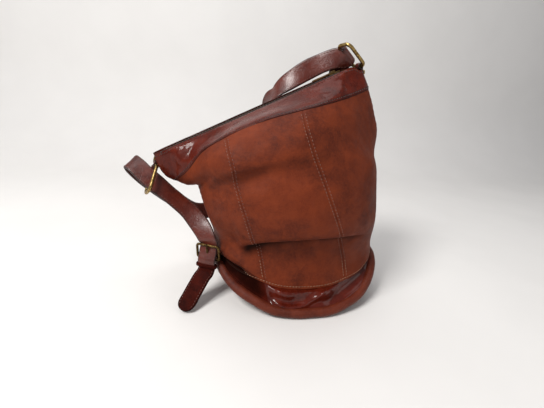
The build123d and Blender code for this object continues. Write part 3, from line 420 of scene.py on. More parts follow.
def closed_strip(name, profiles, mat, attrs=None, cap=True):
    """Mesh from closed section loops: profiles[k, j] in mm."""
    k, m = profiles.shape[:2]
    F = grid_faces(k, m, True)
    if cap:
        F.append(tuple(range(m - 1, -1, -1)))
        F.append(tuple((k - 1) * m + j for j in range(m)))
    ob = new_object(name, profiles.reshape(-1, 3) * MM, F, mat)
    for key, val in (attrs or {}).items():
        set_attr(ob, key, val)
    return ob


def param_line(line, n=160):
    """Dense (s, c) samples of a polyline in rows and columns, and its points."""
    line = np.asarray(line, float)
    d = np.concatenate([[0], np.cumsum(np.linalg.norm(np.diff(line, axis=0), axis=1))])
    q = np.linspace(0, d[-1], n)
    sc = np.stack([np.interp(q, d, line[:, k]) for k in range(2)], 1)
    return sc, surf(sc[:, 0], sc[:, 1])


def signed(P, S, C, line):
    """Signed distance in mm from a line across the bag: positive above it."""
    sc, pts = param_line(line)
    dist, along = polyline_dist(P, pts[::4])
    order = np.argsort(sc[:, 1])
    sl = np.interp(C, sc[order, 1], sc[order, 0])
    return np.where(S >= sl, dist, -dist), along


def fade(C, a0, a1, b0, b1):
    return smooth(C, a0, a1) * (1 - smooth(C, b0, b1))


# ------------------------------------------------------------------ materials
def lin(r, g, b):
    return tuple((v / 255 / 12.92) if v / 255 <= 0.04045 else ((v / 255 + 0.055) / 1.055) ** 2.4 for v in (r, g, b)) + (1.0,)


class Net:
    def __init__(self, name):
        self.mat = bpy.data.materials.new(name)
        self.mat.use_nodes = True
        self.nt = self.mat.node_tree
        self.nt.nodes.clear()
        self.out = self.nt.nodes.new("ShaderNodeOutputMaterial")
        self.bsdf = self.nt.nodes.new("ShaderNodeBsdfPrincipled")
        self.nt.links.new(self.bsdf.outputs[0], self.out.inputs[0])
        self.coord = self.nt.nodes.new("ShaderNodeTexCoord").outputs["Object"]

    def link(self, a, b):
        self.nt.links.new(a, b)

    def scaled(self, scale, loc=(0, 0, 0)):
        n = self.nt.nodes.new("ShaderNodeMapping")
        n.inputs["Scale"].default_value = scale
        n.inputs["Location"].default_value = loc
        self.link(self.coord, n.inputs["Vector"])
        return n.outputs["Vector"]

    def noise(self, scale, detail=4, rough=0.55, distortion=0.0, vec=None):
        n = self.nt.nodes.new("ShaderNodeTexNoise")
        n.inputs["Scale"].default_value = scale
        n.inputs["Detail"].default_value = detail
        n.inputs["Roughness"].default_value = rough
        n.inputs["Distortion"].default_value = distortion
        self.link(vec or self.coord, n.inputs["Vector"])
        return n.outputs["Fac"]

    def voronoi(self, scale, feature="F1", randomness=1.0, vec=None):
        n = self.nt.nodes.new("ShaderNodeTexVoronoi")
        n.feature = feature
        n.inputs["Scale"].default_value = scale
        n.inputs["Randomness"].default_value = randomness
        self.link(vec or self.coord, n.inputs["Vector"])
        return n.outputs["Distance"]

    def remap(self, v, a, b, lo=0.0, hi=1.0):
        n = self.nt.nodes.new("ShaderNodeMapRange")
        n.interpolation_type = "SMOOTHSTEP"
        n.inputs["From Min"].default_value = a
        n.inputs["From Max"].default_value = b
        n.inputs["To Min"].default_value = lo
        n.inputs["To Max"].default_value = hi
        self.link(v, n.inputs["Value"])
        return n.outputs["Result"]

    def math(self, op, a, b=None):
        n = self.nt.nodes.new("ShaderNodeMath")
        n.operation = op
        for k, v in enumerate((a, b)):
            if v is None:
                continue
            if isinstance(v, (int, float)):
                n.inputs[k].default_value = v
            else:
                self.link(v, n.inputs[k])
        return n.outputs[0]

    def mix(self, fac, a, b, mode="MIX"):
        n = self.nt.nodes.new("ShaderNodeMix")
        n.data_type = "RGBA"
        n.blend_type = mode
        n.clamp_result = False
        for sock, v in ((n.inputs[0], fac), (n.inputs[6], a), (n.inputs[7], b)):
            if isinstance(v, (int, float, tuple)):
                sock.default_value = v
            else:
                self.link(v, sock)
        return n.outputs[2]

    def attr(self, name):
        n = self.nt.nodes.new("ShaderNodeAttribute")
        n.attribute_name = name
        return n.outputs["Fac"]

    def bump(self, height, strength, distance, normal=None):
        n = self.nt.nodes.new("ShaderNodeBump")
        n.inputs["Strength"].default_value = strength
        n.inputs["Distance"].default_value = distance
        self.link(height, n.inputs["Height"])
        if normal is not None:
            self.link(normal, n.inputs["Normal"])
        return n.outputs["Normal"]

    def set(self, **kw):
        for k, v in kw.items():
            s = self.bsdf.inputs[k.replace("_", " ")]
            if isinstance(v, (int, float, tuple)):
                s.default_value = v
            else:
                self.link(v, s)


def leather(name, dark, base, light, rough, rough_var, grain, pores, wrinkle, coat=0.0, coat_rough=0.3, sheen=0.0, spec=0.5, edge=None, fleck=0.0):
    """dark, base and light are sRGB triples; grain, pores and wrinkle are bump heights."""
    m = Net(name)
    big = m.remap(m.noise(13, 4, 0.6, 0.6), 0.36, 0.66)
    mid = m.remap(m.noise(62, 5, 0.62, 0.3), 0.34, 0.7)
    fine = m.noise(420, 4, 0.65)
    col = m.mix(big, lin(*dark), lin(*base))
    col = m.mix(m.math("MULTIPLY", mid, 0.55), col, lin(*light))
    col = m.mix(m.remap(fine, 0.3, 0.72, 0.0, 0.30), col, lin(*light))
    if fleck:
        scuff = m.remap(m.noise(150, 7, 0.72, 1.2, m.scaled((1.0, 1.0, 0.45))), 0.58, 0.76)
        col = m.mix(m.math("MULTIPLY", scuff, fleck), col, lin(*[min(255, int(v * 1.45) + 12) for v in light]))
    if edge is not None:
        col = m.mix(m.math("MULTIPLY", m.attr("edge"), 0.85), col, lin(*edge))
    # Painted shade: this vertex attribute darkens the colour towards a third of the dark tone and raises the roughness,
    # standing in for the shade in folds, seam grooves, under overhangs and along the bands' edges.
    painted_shade = m.attr("painted_shade")
    col = m.mix(m.remap(painted_shade, 0.0, 1.0), col, lin(*[int(v * 0.35) for v in dark]))
    tan = m.attr("worn")
    col = m.mix(m.remap(tan, 0.0, 1.0), col, lin(*[min(255, int(v * 1.5) + 14) for v in light]))
    r = m.remap(m.noise(48, 5, 0.6), 0.3, 0.7, rough - rough_var, rough + rough_var)
    r = m.math("ADD", r, m.math("MULTIPLY", m.math("SUBTRACT", fine, 0.5), 0.12))
    r = m.math("ADD", r, m.math("MULTIPLY", painted_shade, 0.4))
    cells = m.voronoi(760, "DISTANCE_TO_EDGE")
    cell = m.remap(cells, 0.0, 0.35)
    pore = m.remap(m.voronoi(1500, "F1"), 0.05, 0.4)
    wr = m.noise(170, 5, 0.6, 1.5)
    n = m.bump(wr, wrinkle, 0.0012)
    n = m.bump(cell, grain, 0.0004, n)
    n = m.bump(pore, pores, 0.00025, n)
    m.set(Base_Color=col, Roughness=r, Normal=n)
    b = m.bsdf.inputs
    b["Specular IOR Level"].default_value = spec
    b["Coat Weight"].default_value = coat
    b["Coat Roughness"].default_value = coat_rough
    b["Sheen Weight"].default_value = sheen
    b["Sheen Roughness"].default_value = 0.55
    b["Sheen Tint"].default_value = lin(215, 150, 125)
    return m.mat


def brass(name, bright, dull, rough):
    m = Net(name)
    tarnish = m.remap(m.noise(330, 6, 0.68, 0.8), 0.38, 0.66)
    spots = m.remap(m.noise(1200, 4, 0.6), 0.5, 0.72)
    col = m.mix(tarnish, lin(*bright), lin(*dull))
    col = m.mix(m.math("MULTIPLY", spots, 0.5), col, lin(*[int(v * 0.55) for v in dull]))
    r = m.remap(tarnish, 0, 1, rough, rough + 0.22)
    n = m.bump(m.noise(900, 5, 0.6), 0.25, 0.0003)
    m.set(Base_Color=col, Roughness=r, Normal=n)
    m.bsdf.inputs["Metallic"].default_value = 1.0
    return m.mat


def thread_material(name, a, b):
    m = Net(name)
    w = m.nt.nodes.new("ShaderNodeTexWave")
    w.wave_type = "BANDS"
    w.bands_direction = "DIAGONAL"
    w.inputs["Scale"].default_value = 900
    w.inputs["Distortion"].default_value = 1.5
    m.link(m.coord, w.inputs["Vector"])
    col = m.mix(m.remap(m.noise(120, 3), 0.35, 0.65), lin(*a), lin(*b))
    n = m.bump(w.outputs["Fac"], 0.6, 0.0002)
    m.set(Base_Color=col, Normal=n)
    m.bsdf.inputs["Roughness"].default_value = 0.7
    m.bsdf.inputs["Sheen Weight"].default_value = 0.3
    return m.mat


def tape_material(name, a, b):
    m = Net(name)
    ax = m.nt.nodes.new("ShaderNodeVectorRotate")
    ax.rotation_type = "Y_AXIS"
    ax.inputs["Angle"].default_value = math.atan2(115.0, 230.0)
    m.link(m.coord, ax.inputs["Vector"])
    sep = m.nt.nodes.new("ShaderNodeSeparateXYZ")
    m.link(ax.outputs[0], sep.inputs[0])
    wx = m.math("SINE", m.math("MULTIPLY", sep.outputs[0], 7200.0))
    wy = m.math("SINE", m.math("MULTIPLY", sep.outputs[1], 5200.0))
    weave = m.math("ADD", m.math("MULTIPLY", wx, wy), m.math("MULTIPLY", wy, 0.4))
    col = m.mix(m.remap(weave, -1, 1.2), lin(*a), lin(*b))
    n = m.bump(weave, 0.7, 0.0003)
    m.set(Base_Color=col, Normal=n)
    m.bsdf.inputs["Roughness"].default_value = 0.85
    m.bsdf.inputs["Sheen Weight"].default_value = 0.25
    return m.mat


BODY = leather("body_leather_soft", (72, 25, 11), (99, 38, 16), (124, 52, 23), 0.62, 0.07, 0.30, 0.22, 0.30,
               sheen=0.0, spec=0.16, fleck=0.12)
GLOSS = leather("gloss_leather_bands", (50, 9, 4), (78, 20, 9), (102, 35, 19), 0.33, 0.08, 0.18, 0.16, 0.55,
                coat=0.2, coat_rough=0.1, spec=0.1, fleck=0.05)
STRAPM = leather("strap_leather_stitched", (54, 15, 9), (82, 27, 17), (106, 42, 28), 0.36, 0.07, 0.22, 0.2, 0.45,
                 coat=0.25, coat_rough=0.2, spec=0.4, edge=(32, 10, 7), fleck=0.06)
# a darker, nearly non-reflecting copy of the strap leather for the tail end and the keeper: painted shade
TAIL_SHADED = leather("tail_leather_painted_shade", (36, 8, 5), (54, 13, 8), (74, 22, 13), 0.6, 0.06, 0.22, 0.2, 0.4,
                coat=0.0, spec=0.03, edge=(26, 7, 5))
FOOTM = leather("gloss_leather_foot", (50, 9, 4), (80, 19, 8), (104, 34, 18), 0.3, 0.08, 0.16, 0.14, 0.5,
                coat=0.55, coat_rough=0.09, spec=0.08, fleck=0.04)
# same colours as the foot leather without coat or gloss: stands in for the shadow under the left lobe
FOOT_SHADOWED = leather("gloss_leather_foot_painted_shadow", (50, 9, 4), (80, 19, 8), (104, 34, 18), 0.62, 0.08, 0.16, 0.14, 0.5,
                coat=0.0, spec=0.05, fleck=0.04)
WELTM = leather("welt_leather_worn", (64, 20, 11), (88, 32, 17), (112, 48, 28), 0.5, 0.08, 0.3, 0.25, 0.5,
                coat=0.0, spec=0.22, fleck=0.14)
BASEM = leather("base_leather_scuffed", (58, 25, 19), (80, 38, 28), (110, 60, 44), 0.6, 0.08, 0.35, 0.25, 0.4,
                spec=0.35, fleck=0.25)
LINING = leather("lining_leather_raw", (96, 60, 42), (122, 80, 56), (150, 104, 76), 0.75, 0.06, 0.2, 0.2, 0.3,
                 spec=0.25)
BRASS = brass("aged_brass_worn", (176, 150, 96), (108, 84, 44), 0.3)
# a darker copy of the aged brass for the buckle's frame and prong: painted shade for the buckle lying in the shadow of
# the strap and tab
BRASS_SHADED = brass("buckle_brass_painted_shade", (112, 88, 52), (46, 34, 22), 0.42)
ZIPB = brass("zip_brass_tarnished", (150, 122, 74), (84, 62, 34), 0.36)
THREAD = thread_material("thread_light_tan", (166, 122, 88), (134, 92, 64))
THREAD_DARK = thread_material("thread_brown", (96, 50, 34), (74, 36, 26))
THREAD_MID = thread_material("thread_worn", (126, 78, 54), (104, 58, 40))
TAPE = tape_material("zip_tape_woven", (30, 20, 17), (58, 40, 33))

# ------------------------------------------------------------------ the shell
SEAMS = (3.0, 6.0, 12.0, 15.0)
SIDES = (0.0, 9.0)
CREASE = [(3.15, 2.1), (3.4, 2.3), (3.7, 2.6), (4.0, 3.15), (4.2, 3.6), (4.4, 4.3), (4.5, 5.05), (4.5, 6.0), (4.45, 6.9), (4.4, 8.0)]
LOBE_L = [(2.3, 0.0), (2.35, 0.9), (2.5, 1.65), (2.5, 2.2), (2.2, 2.55), (1.95, 2.95)]
LOBE_R = [(2.0, 6.05), (1.95, 6.6), (1.85, 7.4), (1.75, 8.1), (1.7, 9.0)]
RIDGE = [(1.0, 3.2), (0.8, 3.55), (0.62, 3.85), (0.9, 4.3), (1.2, 4.6), (1.5, 4.82), (1.85, 4.98)]
VALLEY_L = [(1.9, 1.35), (1.7, 2.0), (1.4, 2.55), (1.2, 3.0), (1.05, 3.5)]
VALLEY_R = [(1.1, 5.0), (1.4, 5.65), (1.6, 6.35), (1.5, 7.0), (1.0, 7.75)]


def wrapc(x):
    return (x + 9.0) % 18.0 - 9.0


def grid_lengths(P, S, C, wrap):
    ls = np.linalg.norm(np.gradient(P, axis=0), axis=-1) / np.maximum(np.gradient(S, axis=0), 1e-9)
    if wrap:
        dp = (np.roll(P, -1, 1) - np.roll(P, 1, 1)) / 2
        dc = 18.0 / P.shape[1]
        lc = np.linalg.norm(dp, axis=-1) / dc
    else:
        lc = np.linalg.norm(np.gradient(P, axis=1), axis=-1) / np.maximum(np.gradient(C, axis=1), 1e-9)
    return ls, lc


def sit(P):
    """The front of the bag's bottom curls up a little on both sides of where it rests."""
    u = P[..., 0] / BASE_A
    k = 6.4 * np.exp(-((u + 0.58) / 0.24) ** 2) + 4.0 * np.exp(-((u - 0.48) / 0.17) ** 2)
    k = k * smooth(-P[..., 1], 5, 50) * (1 - smooth(P[..., 2], 14, 62))
    return P + k[..., None] * np.array([0, 0, 1.0])


def right_push(S, C):
    """The right side stands out a little just below the mouth's corner."""
    return 2.8 * fade(C, 8.2, 8.9, 9.8, 10.8) * bump(S, 11.2, 1.5)


def body_offset(P, S, C, ls, lc):
    """Displacement of the body's skin (mm), its painted shade values and its wear values."""
    D = np.zeros(S.shape)
    painted_shade = np.zeros(S.shape)
    worn = np.zeros(S.shape)
    up = np.cumsum(ls * np.gradient(S, axis=0), axis=0)
    for c0 in SEAMS + SIDES:
        x = wrapc(C - c0) * lc
        near = bump(np.abs(x), 0, 0.6)
        D += -0.45 * near + 0.14 * bump(np.abs(x), 2.4, 1.5)
        ph = c0 * 1.7
        D += 0.12 * np.sin(2 * np.pi * up / 7.3 + ph + 1.3 * np.sign(x)) * bump(np.abs(x), 3.4, 3.0)
        # painted shade along each seam's groove
        painted_shade = np.maximum(painted_shade, 0.4 * bump(np.abs(x), 0, 0.4))
        worn = np.maximum(worn, 0.04 * bump(np.abs(x), 2.6, 1.2))
    # belly folds over the lower panel, with painted shade in a band just below the crease
    front = fade(C, -0.2, 0.2, 8.8, 9.2)
    x, _ = signed(P, S, C, CREASE)
    k = fade(C, 2.15, 2.6, 5.6, 7.6) * front
    above = -3.6 * np.exp(-(x / 2.8) ** 2) + 5.2 * (1 - np.exp(-(x / 5.0) ** 2)) * np.exp(-((x - 4) / 24.0) ** 2)
    below = -3.6 * np.exp(-(x / 16.0) ** 2)
    D += k * np.where(x >= 0, above, below)
    ragged = 1.6 * fbm(P, 17, 7.7, 2)
    painted_shade = np.maximum(painted_shade, k * (0.55 * np.exp(-((x + 1.0 + ragged) / 5.0) ** 2) + 0.36 * np.exp(-((x + 4 + ragged) / 10.0) ** 2)))
    # lobes that hang over the foot band, with painted shadow under the left lobe's edge
    x, _ = signed(P, S, C, LOBE_L)
    k = fade(C, -0.5, 0.6, 2.3, 3.0) * front
    lobe = 5.4 * np.exp(-((x - 6) / 9.0) ** 2) - 0.9
    under = -6.4 * (1 - np.exp(-(x / 3.5) ** 2)) + 5.4 * math.exp(-(6 / 9.0) ** 2) - 0.9
    D += k * np.where(x >= 0, lobe, under)
    painted_shade = np.maximum(painted_shade, 0.85 * k * smooth(-x, -1.5, 2.0))
    x, _ = signed(P, S, C, LOBE_R)
    k = fade(C, 5.9, 6.8, 8.3, 9.0)
    D += k * 1.8 * bump(x, 5, 7)
    # slack leather
    D += 1.25 * fbm(P, 52, 3.1, 2) + 0.55 * fbm(P, 21, 8.2, 2) + 0.16 * fbm(P, 7.5, 1.7, 2)
    return D, painted_shade, worn


def build_body():
    sv = np.concatenate([np.linspace(1.9, 2.6, 26)[:-1], np.linspace(2.6, 5.2, 96)[:-1], np.linspace(5.2, 11.08, 150)])
    cv = np.linspace(0, 18, 720, endpoint=False)
    S, C = np.meshgrid(sv, cv, indexing="ij")
    P, N = sit(surf(S, C)), surf_normal(S, C)
    ls, lc = grid_lengths(P, S, C, True)
    D, painted_shade, worn = body_offset(P, S, C, ls, lc)
    D += 2.2 * fade(C, 8.0, 8.8, 9.6, 10.4) * np.exp(-((P[..., 2] - 150) / 14.0) ** 2)
    D = D * smooth(S, 1.9, 2.05) * (1 - 0.75 * smooth(S, 10.6, 11.0)) + 0.35 + right_push(S, C)
    outer = P + N * D[..., None]
    edge = 1.6 - 0.8 * (1 - smooth(S, 1.9, 1.96))
    inner = outer - N * edge[..., None]
    ob = sheet_object("bag_body", outer, inner, BODY, wrap=True, attrs={"painted_shade": painted_shade, "worn": worn, "edge": np.zeros(S.shape)})
    return ob, (sv, cv, outer, N, lc, ls)


body, BODY_GRID = build_body()


def on_body(s, c, lift=0.0):
    """Points and normals of the displaced body at (s, c)."""
    sv, cv, outer, N, lc, ls = BODY_GRID
    s, c = np.broadcast_arrays(np.asarray(s, float), np.asarray(c, float))
    fi = np.interp(s, sv, np.arange(len(sv)))
    fj = (c % 18.0) / 18.0 * len(cv)
    i = np.clip(np.floor(fi).astype(int), 0, len(sv) - 2)
    j = np.floor(fj).astype(int) % len(cv)
    j1 = (j + 1) % len(cv)
    a, b = (fi - i)[..., None], (fj - np.floor(fj))[..., None]

    def get(g):
        return (g[i, j] * (1 - a) * (1 - b) + g[i + 1, j] * a * (1 - b) + g[i, j1] * (1 - a) * b + g[i + 1, j1] * a * b)
    n = unit(get(N))
    return get(outer) + n * lift, n


def mouth_coords(P):
    mx = unit(MOUTH_R - MOUTH_L)
    mz = unit(np.cross(mx, np.array([0, 1.0, 0])))
    o = MOUTH_L - mz * 2.6
    return (P - o) @ mx, (P - o) @ mz


def band_top(c):
    """Row at which the band's lip ends: cut down at the right corner."""
    ss = np.linspace(11.2, 13.0, 361)
    c = np.asarray(c)
    P = surf(ss[:, None], c[None, :])
    x, z = mouth_coords(P)
    edge = 2.6 - np.where(c < 9.0, 1.7, 0.4)
    lim = np.minimum(edge[None], np.interp(x, [225.0, 241.0, 246.0, 250.5, 270.0], [3.0, 1.0, -1.0, -6.4, -6.4]))
    bad = z > lim
    first = np.where(bad.any(0), bad.argmax(0), len(ss) - 1)
    return ss[first]


def band_offset(P, S, C, lc):
    D = 0.55 * fbm(P, 30, 5.5, 2)
    Q = np.stack([P[..., 0] * 1.0, P[..., 1] * 1.0, P[..., 2] * 0.35], -1)
    amount = 0.25 + 0.8 * (bump(C, 1.2, 1.3) + bump(C, 8.1, 0.8) + bump(C, 16.4, 1.2) + bump(C, 9.9, 0.8))
    D += amount * 1.2 * fbm(Q, 9, 2.2, 2)
    D += 0.2 * fbm(P, 8, 4.4, 2)
    for c0, high, wide in ((1.25, 2.4, 8.0), (7.75, 1.9, 7.0), (4.6, 0.8, 16.0), (2.6, -0.9, 9.0), (6.6, -0.7, 9.0), (16.6, 1.6, 9.0), (10.4, 1.4, 9.0)):
        x = (C - c0) * lc + 5.0 * np.sin(S * 1.7 + c0)
        D += high * np.exp(-(x / wide) ** 2) * smooth(S, 10.9, 11.6)
    for c0 in SIDES:
        x = wrapc(C - c0) * lc
        D += -0.6 * bump(np.abs(x), 0, 0.8)
    return D


def build_band(name, c0, c1):
    m = 420
    cv = np.linspace(c0, c1, m)
    top = band_top(cv)
    k = 46
    u = np.linspace(0, 1, k)
    s_low = 10.93
    S = s_low + (top[None, :] - s_low) * u[:, None]
    C = np.broadcast_to(cv, S.shape)
    P, N = surf(S, C), surf_normal(S, C)
    lc = np.linalg.norm(np.gradient(P, axis=1), axis=-1) / np.gradient(cv)[None]
    D = band_offset(P, S, C, lc)
    lip = smooth(u, 0.86, 1.0)[:, None]
    low = (1 - smooth(u, 0.0, 0.07))[:, None]
    D = D * (1 - lip * 0.85) * (1 - low * 0.6) + right_push(S, C)
    tuck = -0.75 * lip - 0.45 * low
    row_stitch = bump((S - 10.93) * 18.0, 2.6, 0.8)
    outer = P + N * (D + 1.05 + tuck - 0.22 * row_stitch)[..., None]
    inner = P + N * (np.minimum(D - right_push(S, C), 0.3) * 0.5 + right_push(S, C) - 1.5)[..., None]
    upd = unit(outer[-1] - outer[-3])
    arc = []
    for a in np.radians([25, 65, 90, 115, 155]):
        mid = (outer[-1] + inner[-1]) / 2
        half = (outer[-1] - inner[-1]) / 2
        arc.append(mid + half * math.cos(a) + upd * (0.6 * np.linalg.norm(half, axis=-1, keepdims=True) * math.sin(a)))
    loop = np.concatenate([outer, np.array(arc), inner[::-1]], 0)
    prof = np.transpose(loop, (1, 0, 2))
    n_prof = prof.shape[1]
    painted_shade = np.zeros(prof.shape[:2])
    # painted shade along the band's bottom edge, where it meets the body, and in its stitch groove
    painted_shade[:, :k] = np.maximum(0.8 * (1 - smooth(u, 0.0, 0.05))[None], 0.55 * row_stitch.T)
    worn = np.zeros(prof.shape[:2])
    # the lip's rounded edge rows are painted dark along the mouth
    painted_shade[:, k - 1:k + 6] = 0.55
    ob = closed_strip(name, prof, GLOSS, {"painted_shade": painted_shade, "worn": worn, "edge": np.zeros(prof.shape[:2])})
    return ob, (cv, S, outer, N)


band_front, BANDF = build_band("band_top_front", 0.0, 9.0)
band_back, BANDB = build_band("band_top_back", 9.0, 18.0)


def band_line(data, mm_up):
    cv, S, outer, N = data
    k = outer.shape[0]
    pts, nn = [], []
    for j in range(0, outer.shape[1], 2):
        d = np.concatenate([[0], np.cumsum(np.linalg.norm(np.diff(outer[:, j], axis=0), axis=1))])
        x = mm_up if mm_up >= 0 else d[-1] + mm_up
        if x < 0 or x > d[-1]:
            continue
        pts.append([np.interp(x, d, outer[:, j, q]) for q in range(3)])
        nn.append([np.interp(x, d, N[:, j, q]) for q in range(3)])
    return np.array(pts), unit(np.array(nn))


def foot_offset(P, S, C, lc):
    D = 0.6 * fbm(P, 26, 6.1, 2) + 0.06 * fbm(P, 9, 2.9, 2)
    front = fade(C, -0.1, 0.3, 8.7, 9.1)
    x, _ = signed(P, S, C, RIDGE)
    k = fade(C, 2.9, 3.5, 4.9, 5.3)
    D += k * (3.0 * np.exp(-(x / 3.4) ** 2) - 1.6 * bump(x, 8.5, 5.0))
    ledge = 5.6 + 1.2 * np.sin(C * 9.0) + 0.4 * fbm(P, 18, 3.3, 2)
    D += ledge * fade(C, 3.0, 3.45, 5.1, 5.9) * smooth(1.96 - S, 0.0, 0.24) * (1 - smooth(1.96 - S, 0.36, 1.0))
    for s0, c0, high, wide in ((1.66, 3.5, 1.6, 5.0), (1.6, 3.95, 1.5, 4.5), (1.62, 4.45, -1.0, 4.5), (1.58, 4.85, 1.7, 4.5)):
        q = surf(s0, c0)
        D += high * np.exp(-(np.linalg.norm(P - q, axis=-1) / wide) ** 2)
    for line, deep, a, b in ((VALLEY_L, -4.4, (1.2, 2.0), (2.9, 3.5)), (VALLEY_R, -3.4, (4.9, 5.5), (7.3, 8.2))):
        x, _ = signed(P, S, C, line)
        D += deep * fade(C, *a, *b) * np.exp(-(x / 7.0) ** 2)
    D += 0.3 * fbm(P * np.array([1.0, 1.0, 1.6]), 22, 9.4, 2) * (0.5 + 0.5 * front)
    return D


def build_foot(name, c0, c1):
    m = 420
    cv = np.linspace(c0, c1, m)
    sv = np.linspace(0.28, 2.14, 44)
    S, C = np.meshgrid(sv, cv, indexing="ij")
    P, N = sit(surf(S, C)), surf_normal(S, C)
    lc = np.linalg.norm(np.gradient(P, axis=1), axis=-1) / np.gradient(cv)[None]
    D = foot_offset(P, S, C, lc)
    top = smooth(S, 1.75, 1.95)
    D = D * (1 - 0.8 * top * (1 - fade(C, 2.8, 3.4, 5.2, 6.0))) * smooth(S, 0.28, 0.6)
    outer = P + N * (D - 0.35 - 1.0 * top)[..., None]
    inner = outer - N * 1.6
    # painted shade where the foot band tucks under the body, a painted shadow under the left lobe, and painted shade in
    # both valleys
    painted_shade = 0.5 * smooth(S, 1.8, 2.0)
    x, _ = signed(P, S, C, LOBE_L)
    painted_shade = np.maximum(painted_shade, 0.8 * fade(C, 0.1, 0.6, 2.6, 3.3) * smooth(x, -26, -10))
    x, _ = signed(P, S, C, VALLEY_L)
    painted_shade = np.maximum(painted_shade, 0.5 * fade(C, 0.6, 1.2, 3.0, 3.6) * np.exp(-(x / 6.0) ** 2))
    x, _ = signed(P, S, C, VALLEY_R)
    painted_shade = np.maximum(painted_shade, 0.45 * fade(C, 4.9, 5.5, 7.6, 8.4) * np.exp(-(x / 6.0) ** 2))
    F = closed_strip(name, np.transpose(np.concatenate([outer, inner[::-1]], 0), (1, 0, 2)), FOOTM,
                     {"painted_shade": np.transpose(np.concatenate([painted_shade, painted_shade[::-1]], 0)), "worn": np.zeros((m, 88)), "edge": np.zeros((m, 88))})
    # the part under the overhanging lobe gets a copy of the foot leather without coat or gloss, which stands in for the
    # lobe's shadow by taking away the key light's highlights there
    F.data.materials.append(FOOT_SHADOWED)
    for poly in F.data.polygons:
        i = min(poly.vertices) // 88
        if i < m and cv[i] < 2.95:
            poly.material_index = 1
    return F, (cv, S, outer, N)


foot_front, FOOTF = build_foot("band_foot_front", 0.0, 9.0)
foot_back, FOOTB = build_foot("band_foot_back", 9.0, 18.0)


# ----------------------------------------------------------------------- base
def base_rise(u):
    k = np.maximum(0.0, (np.abs(u) - FLAT) / (1 - FLAT))
    return np.where(u < 0, CURL_L, CURL_R) * k * k


def welt_path(th):
    cx = np.sign(np.cos(th)) * np.abs(np.cos(th)) ** (2 / BASE_N)
    cy = np.sign(np.sin(th)) * np.abs(np.sin(th)) ** (2 / BASE_N)
    return np.stack([BASE_A * cx, BASE_B * cy, WELT_R + base_rise(cx)], -1)


WELT_VIS = 5.5
th = np.linspace(0, 2 * math.pi, 4001)[:-1]
wp = welt_path(th)
wp = np.concatenate([wp, wp[:1]])
wd = np.concatenate([[0], np.cumsum(np.linalg.norm(np.diff(wp, axis=0), axis=1))])
q = np.linspace(0, wd[-1], 361)[:-1]
wp = np.stack([np.interp(q, wd, wp[:, k]) for k in range(3)], 1)
wp[:, 2] += WELT_VIS - WELT_R
wp = sit(wp)
wv, wf = tube_mesh(wp, WELT_VIS, 26, closed=True)
wv = wv.reshape(-1, 26, 3)
wn = unit(wv - wp[:, None])
wob = 0.28 * fbm(wv, 14, 4.2, 2) + 0.16 * (1 - np.abs(fbm(wv * np.array([1, 1, 1.0]), 6.5, 7.7, 2)) * 2)
wob += 0.35 * fbm(np.repeat(wp[:, None], 26, 1), 34, 2.4, 2)
wv = wv + wn * wob[..., None]
wv[..., 2] = np.maximum(wv[..., 2], 0.05)
welt = new_object("welt_roll", wv.reshape(-1, 3) * MM, wf, WELTM)
for key in ("painted_shade", "worn", "edge"):
    set_attr(welt, key, np.zeros(len(welt.data.vertices)))

# base panel: sags a little, meets the welt
bu = np.linspace(0, 1, 26)
bth = np.linspace(0, 2 * math.pi, 180, endpoint=False)
rim = welt_path(bth)
U, T = np.meshgrid(bu, bth, indexing="ij")
rx, ry = rim[:, 0] * (1 - 4.2 / BASE_A), rim[:, 1] * (1 - 4.2 / BASE_B)
bx, by = U * rx[None], U * ry[None]
bz = base_rise(bx / BASE_A) + 1.2
bp = np.stack([bx, by, bz], -1)
bp = sit(bp)
bp[..., 2] += 0.25 * fbm(bp, 18, 1.1, 2) + 0.5
base_top = bp + np.array([0, 0, 2.4])
base = sheet_object("base_sheet", base_top[1:], bp[1:], BASEM, wrap=True)


# ------------------------------------------------------------- strap and tabs
BK_C = np.array([-113.0, -33.0, 58.5])
BK_W = unit([0.905, -0.426, 0.0])
BK_T = unit(np.array([-0.043, -0.091, 0.995]) - np.dot([-0.043, -0.091, 0.995], BK_W) * BK_W)
BK_N = -unit(np.cross(BK_W, BK_T))


def bk(w, t, n):
    return BK_C + BK_W * w + BK_T * t + BK_N * n


# the stretch over the mouth turns more of its face forward than the plain run
for k_, c_, w_ in (
        (23, (-37.1, 28.4, 239.4), (-0.141, 0.914, 0.381)),
        (24, (-28.0, 24.2, 249.8), (-0.358, 0.714, 0.602)),
        (25, (-16.1, 21.0, 258.8), (-0.466, 0.479, 0.744)),
        (26, (-1.0, 18.3, 269.0), (-0.469, 0.182, 0.864)),
        (27, (14.7, 12.5, 277.7), (-0.333, 0.325, 0.885)),
):
    STRAP[k_] = (c_, w_)
THROUGH = [(bk(0, -17.5, -4.8), BK_W), (bk(0, -9.0, -5.4), BK_W), (bk(0, 0.0, -0.7), BK_W), (bk(0, 9.5, 3.6), BK_W)]
STRAP = THROUGH + STRAP
STRAP_W, STRAP_T = 22.0, 3.0
LAST = len(STRAP) - 1



def strap_half(s):
    return 11.0 + 0.45 * np.exp(-((np.asarray(s, float) - 29.0) / 2.4) ** 2)


strap = strap_object("strap_main", STRAP, 0.25, LAST, STRAP_W, STRAP_T - 0.5, STRAPM, step=1.3, half=strap_half, seed=2.0)
strap_thread = stitches("strap_stitching", strap_stitch_lines(STRAP, 2.6, LAST - 0.1, STRAP_W, STRAP_T - 0.5, half=strap_half), THREAD_DARK, pitch=3.6, length=2.4, r=0.3, seed=5)

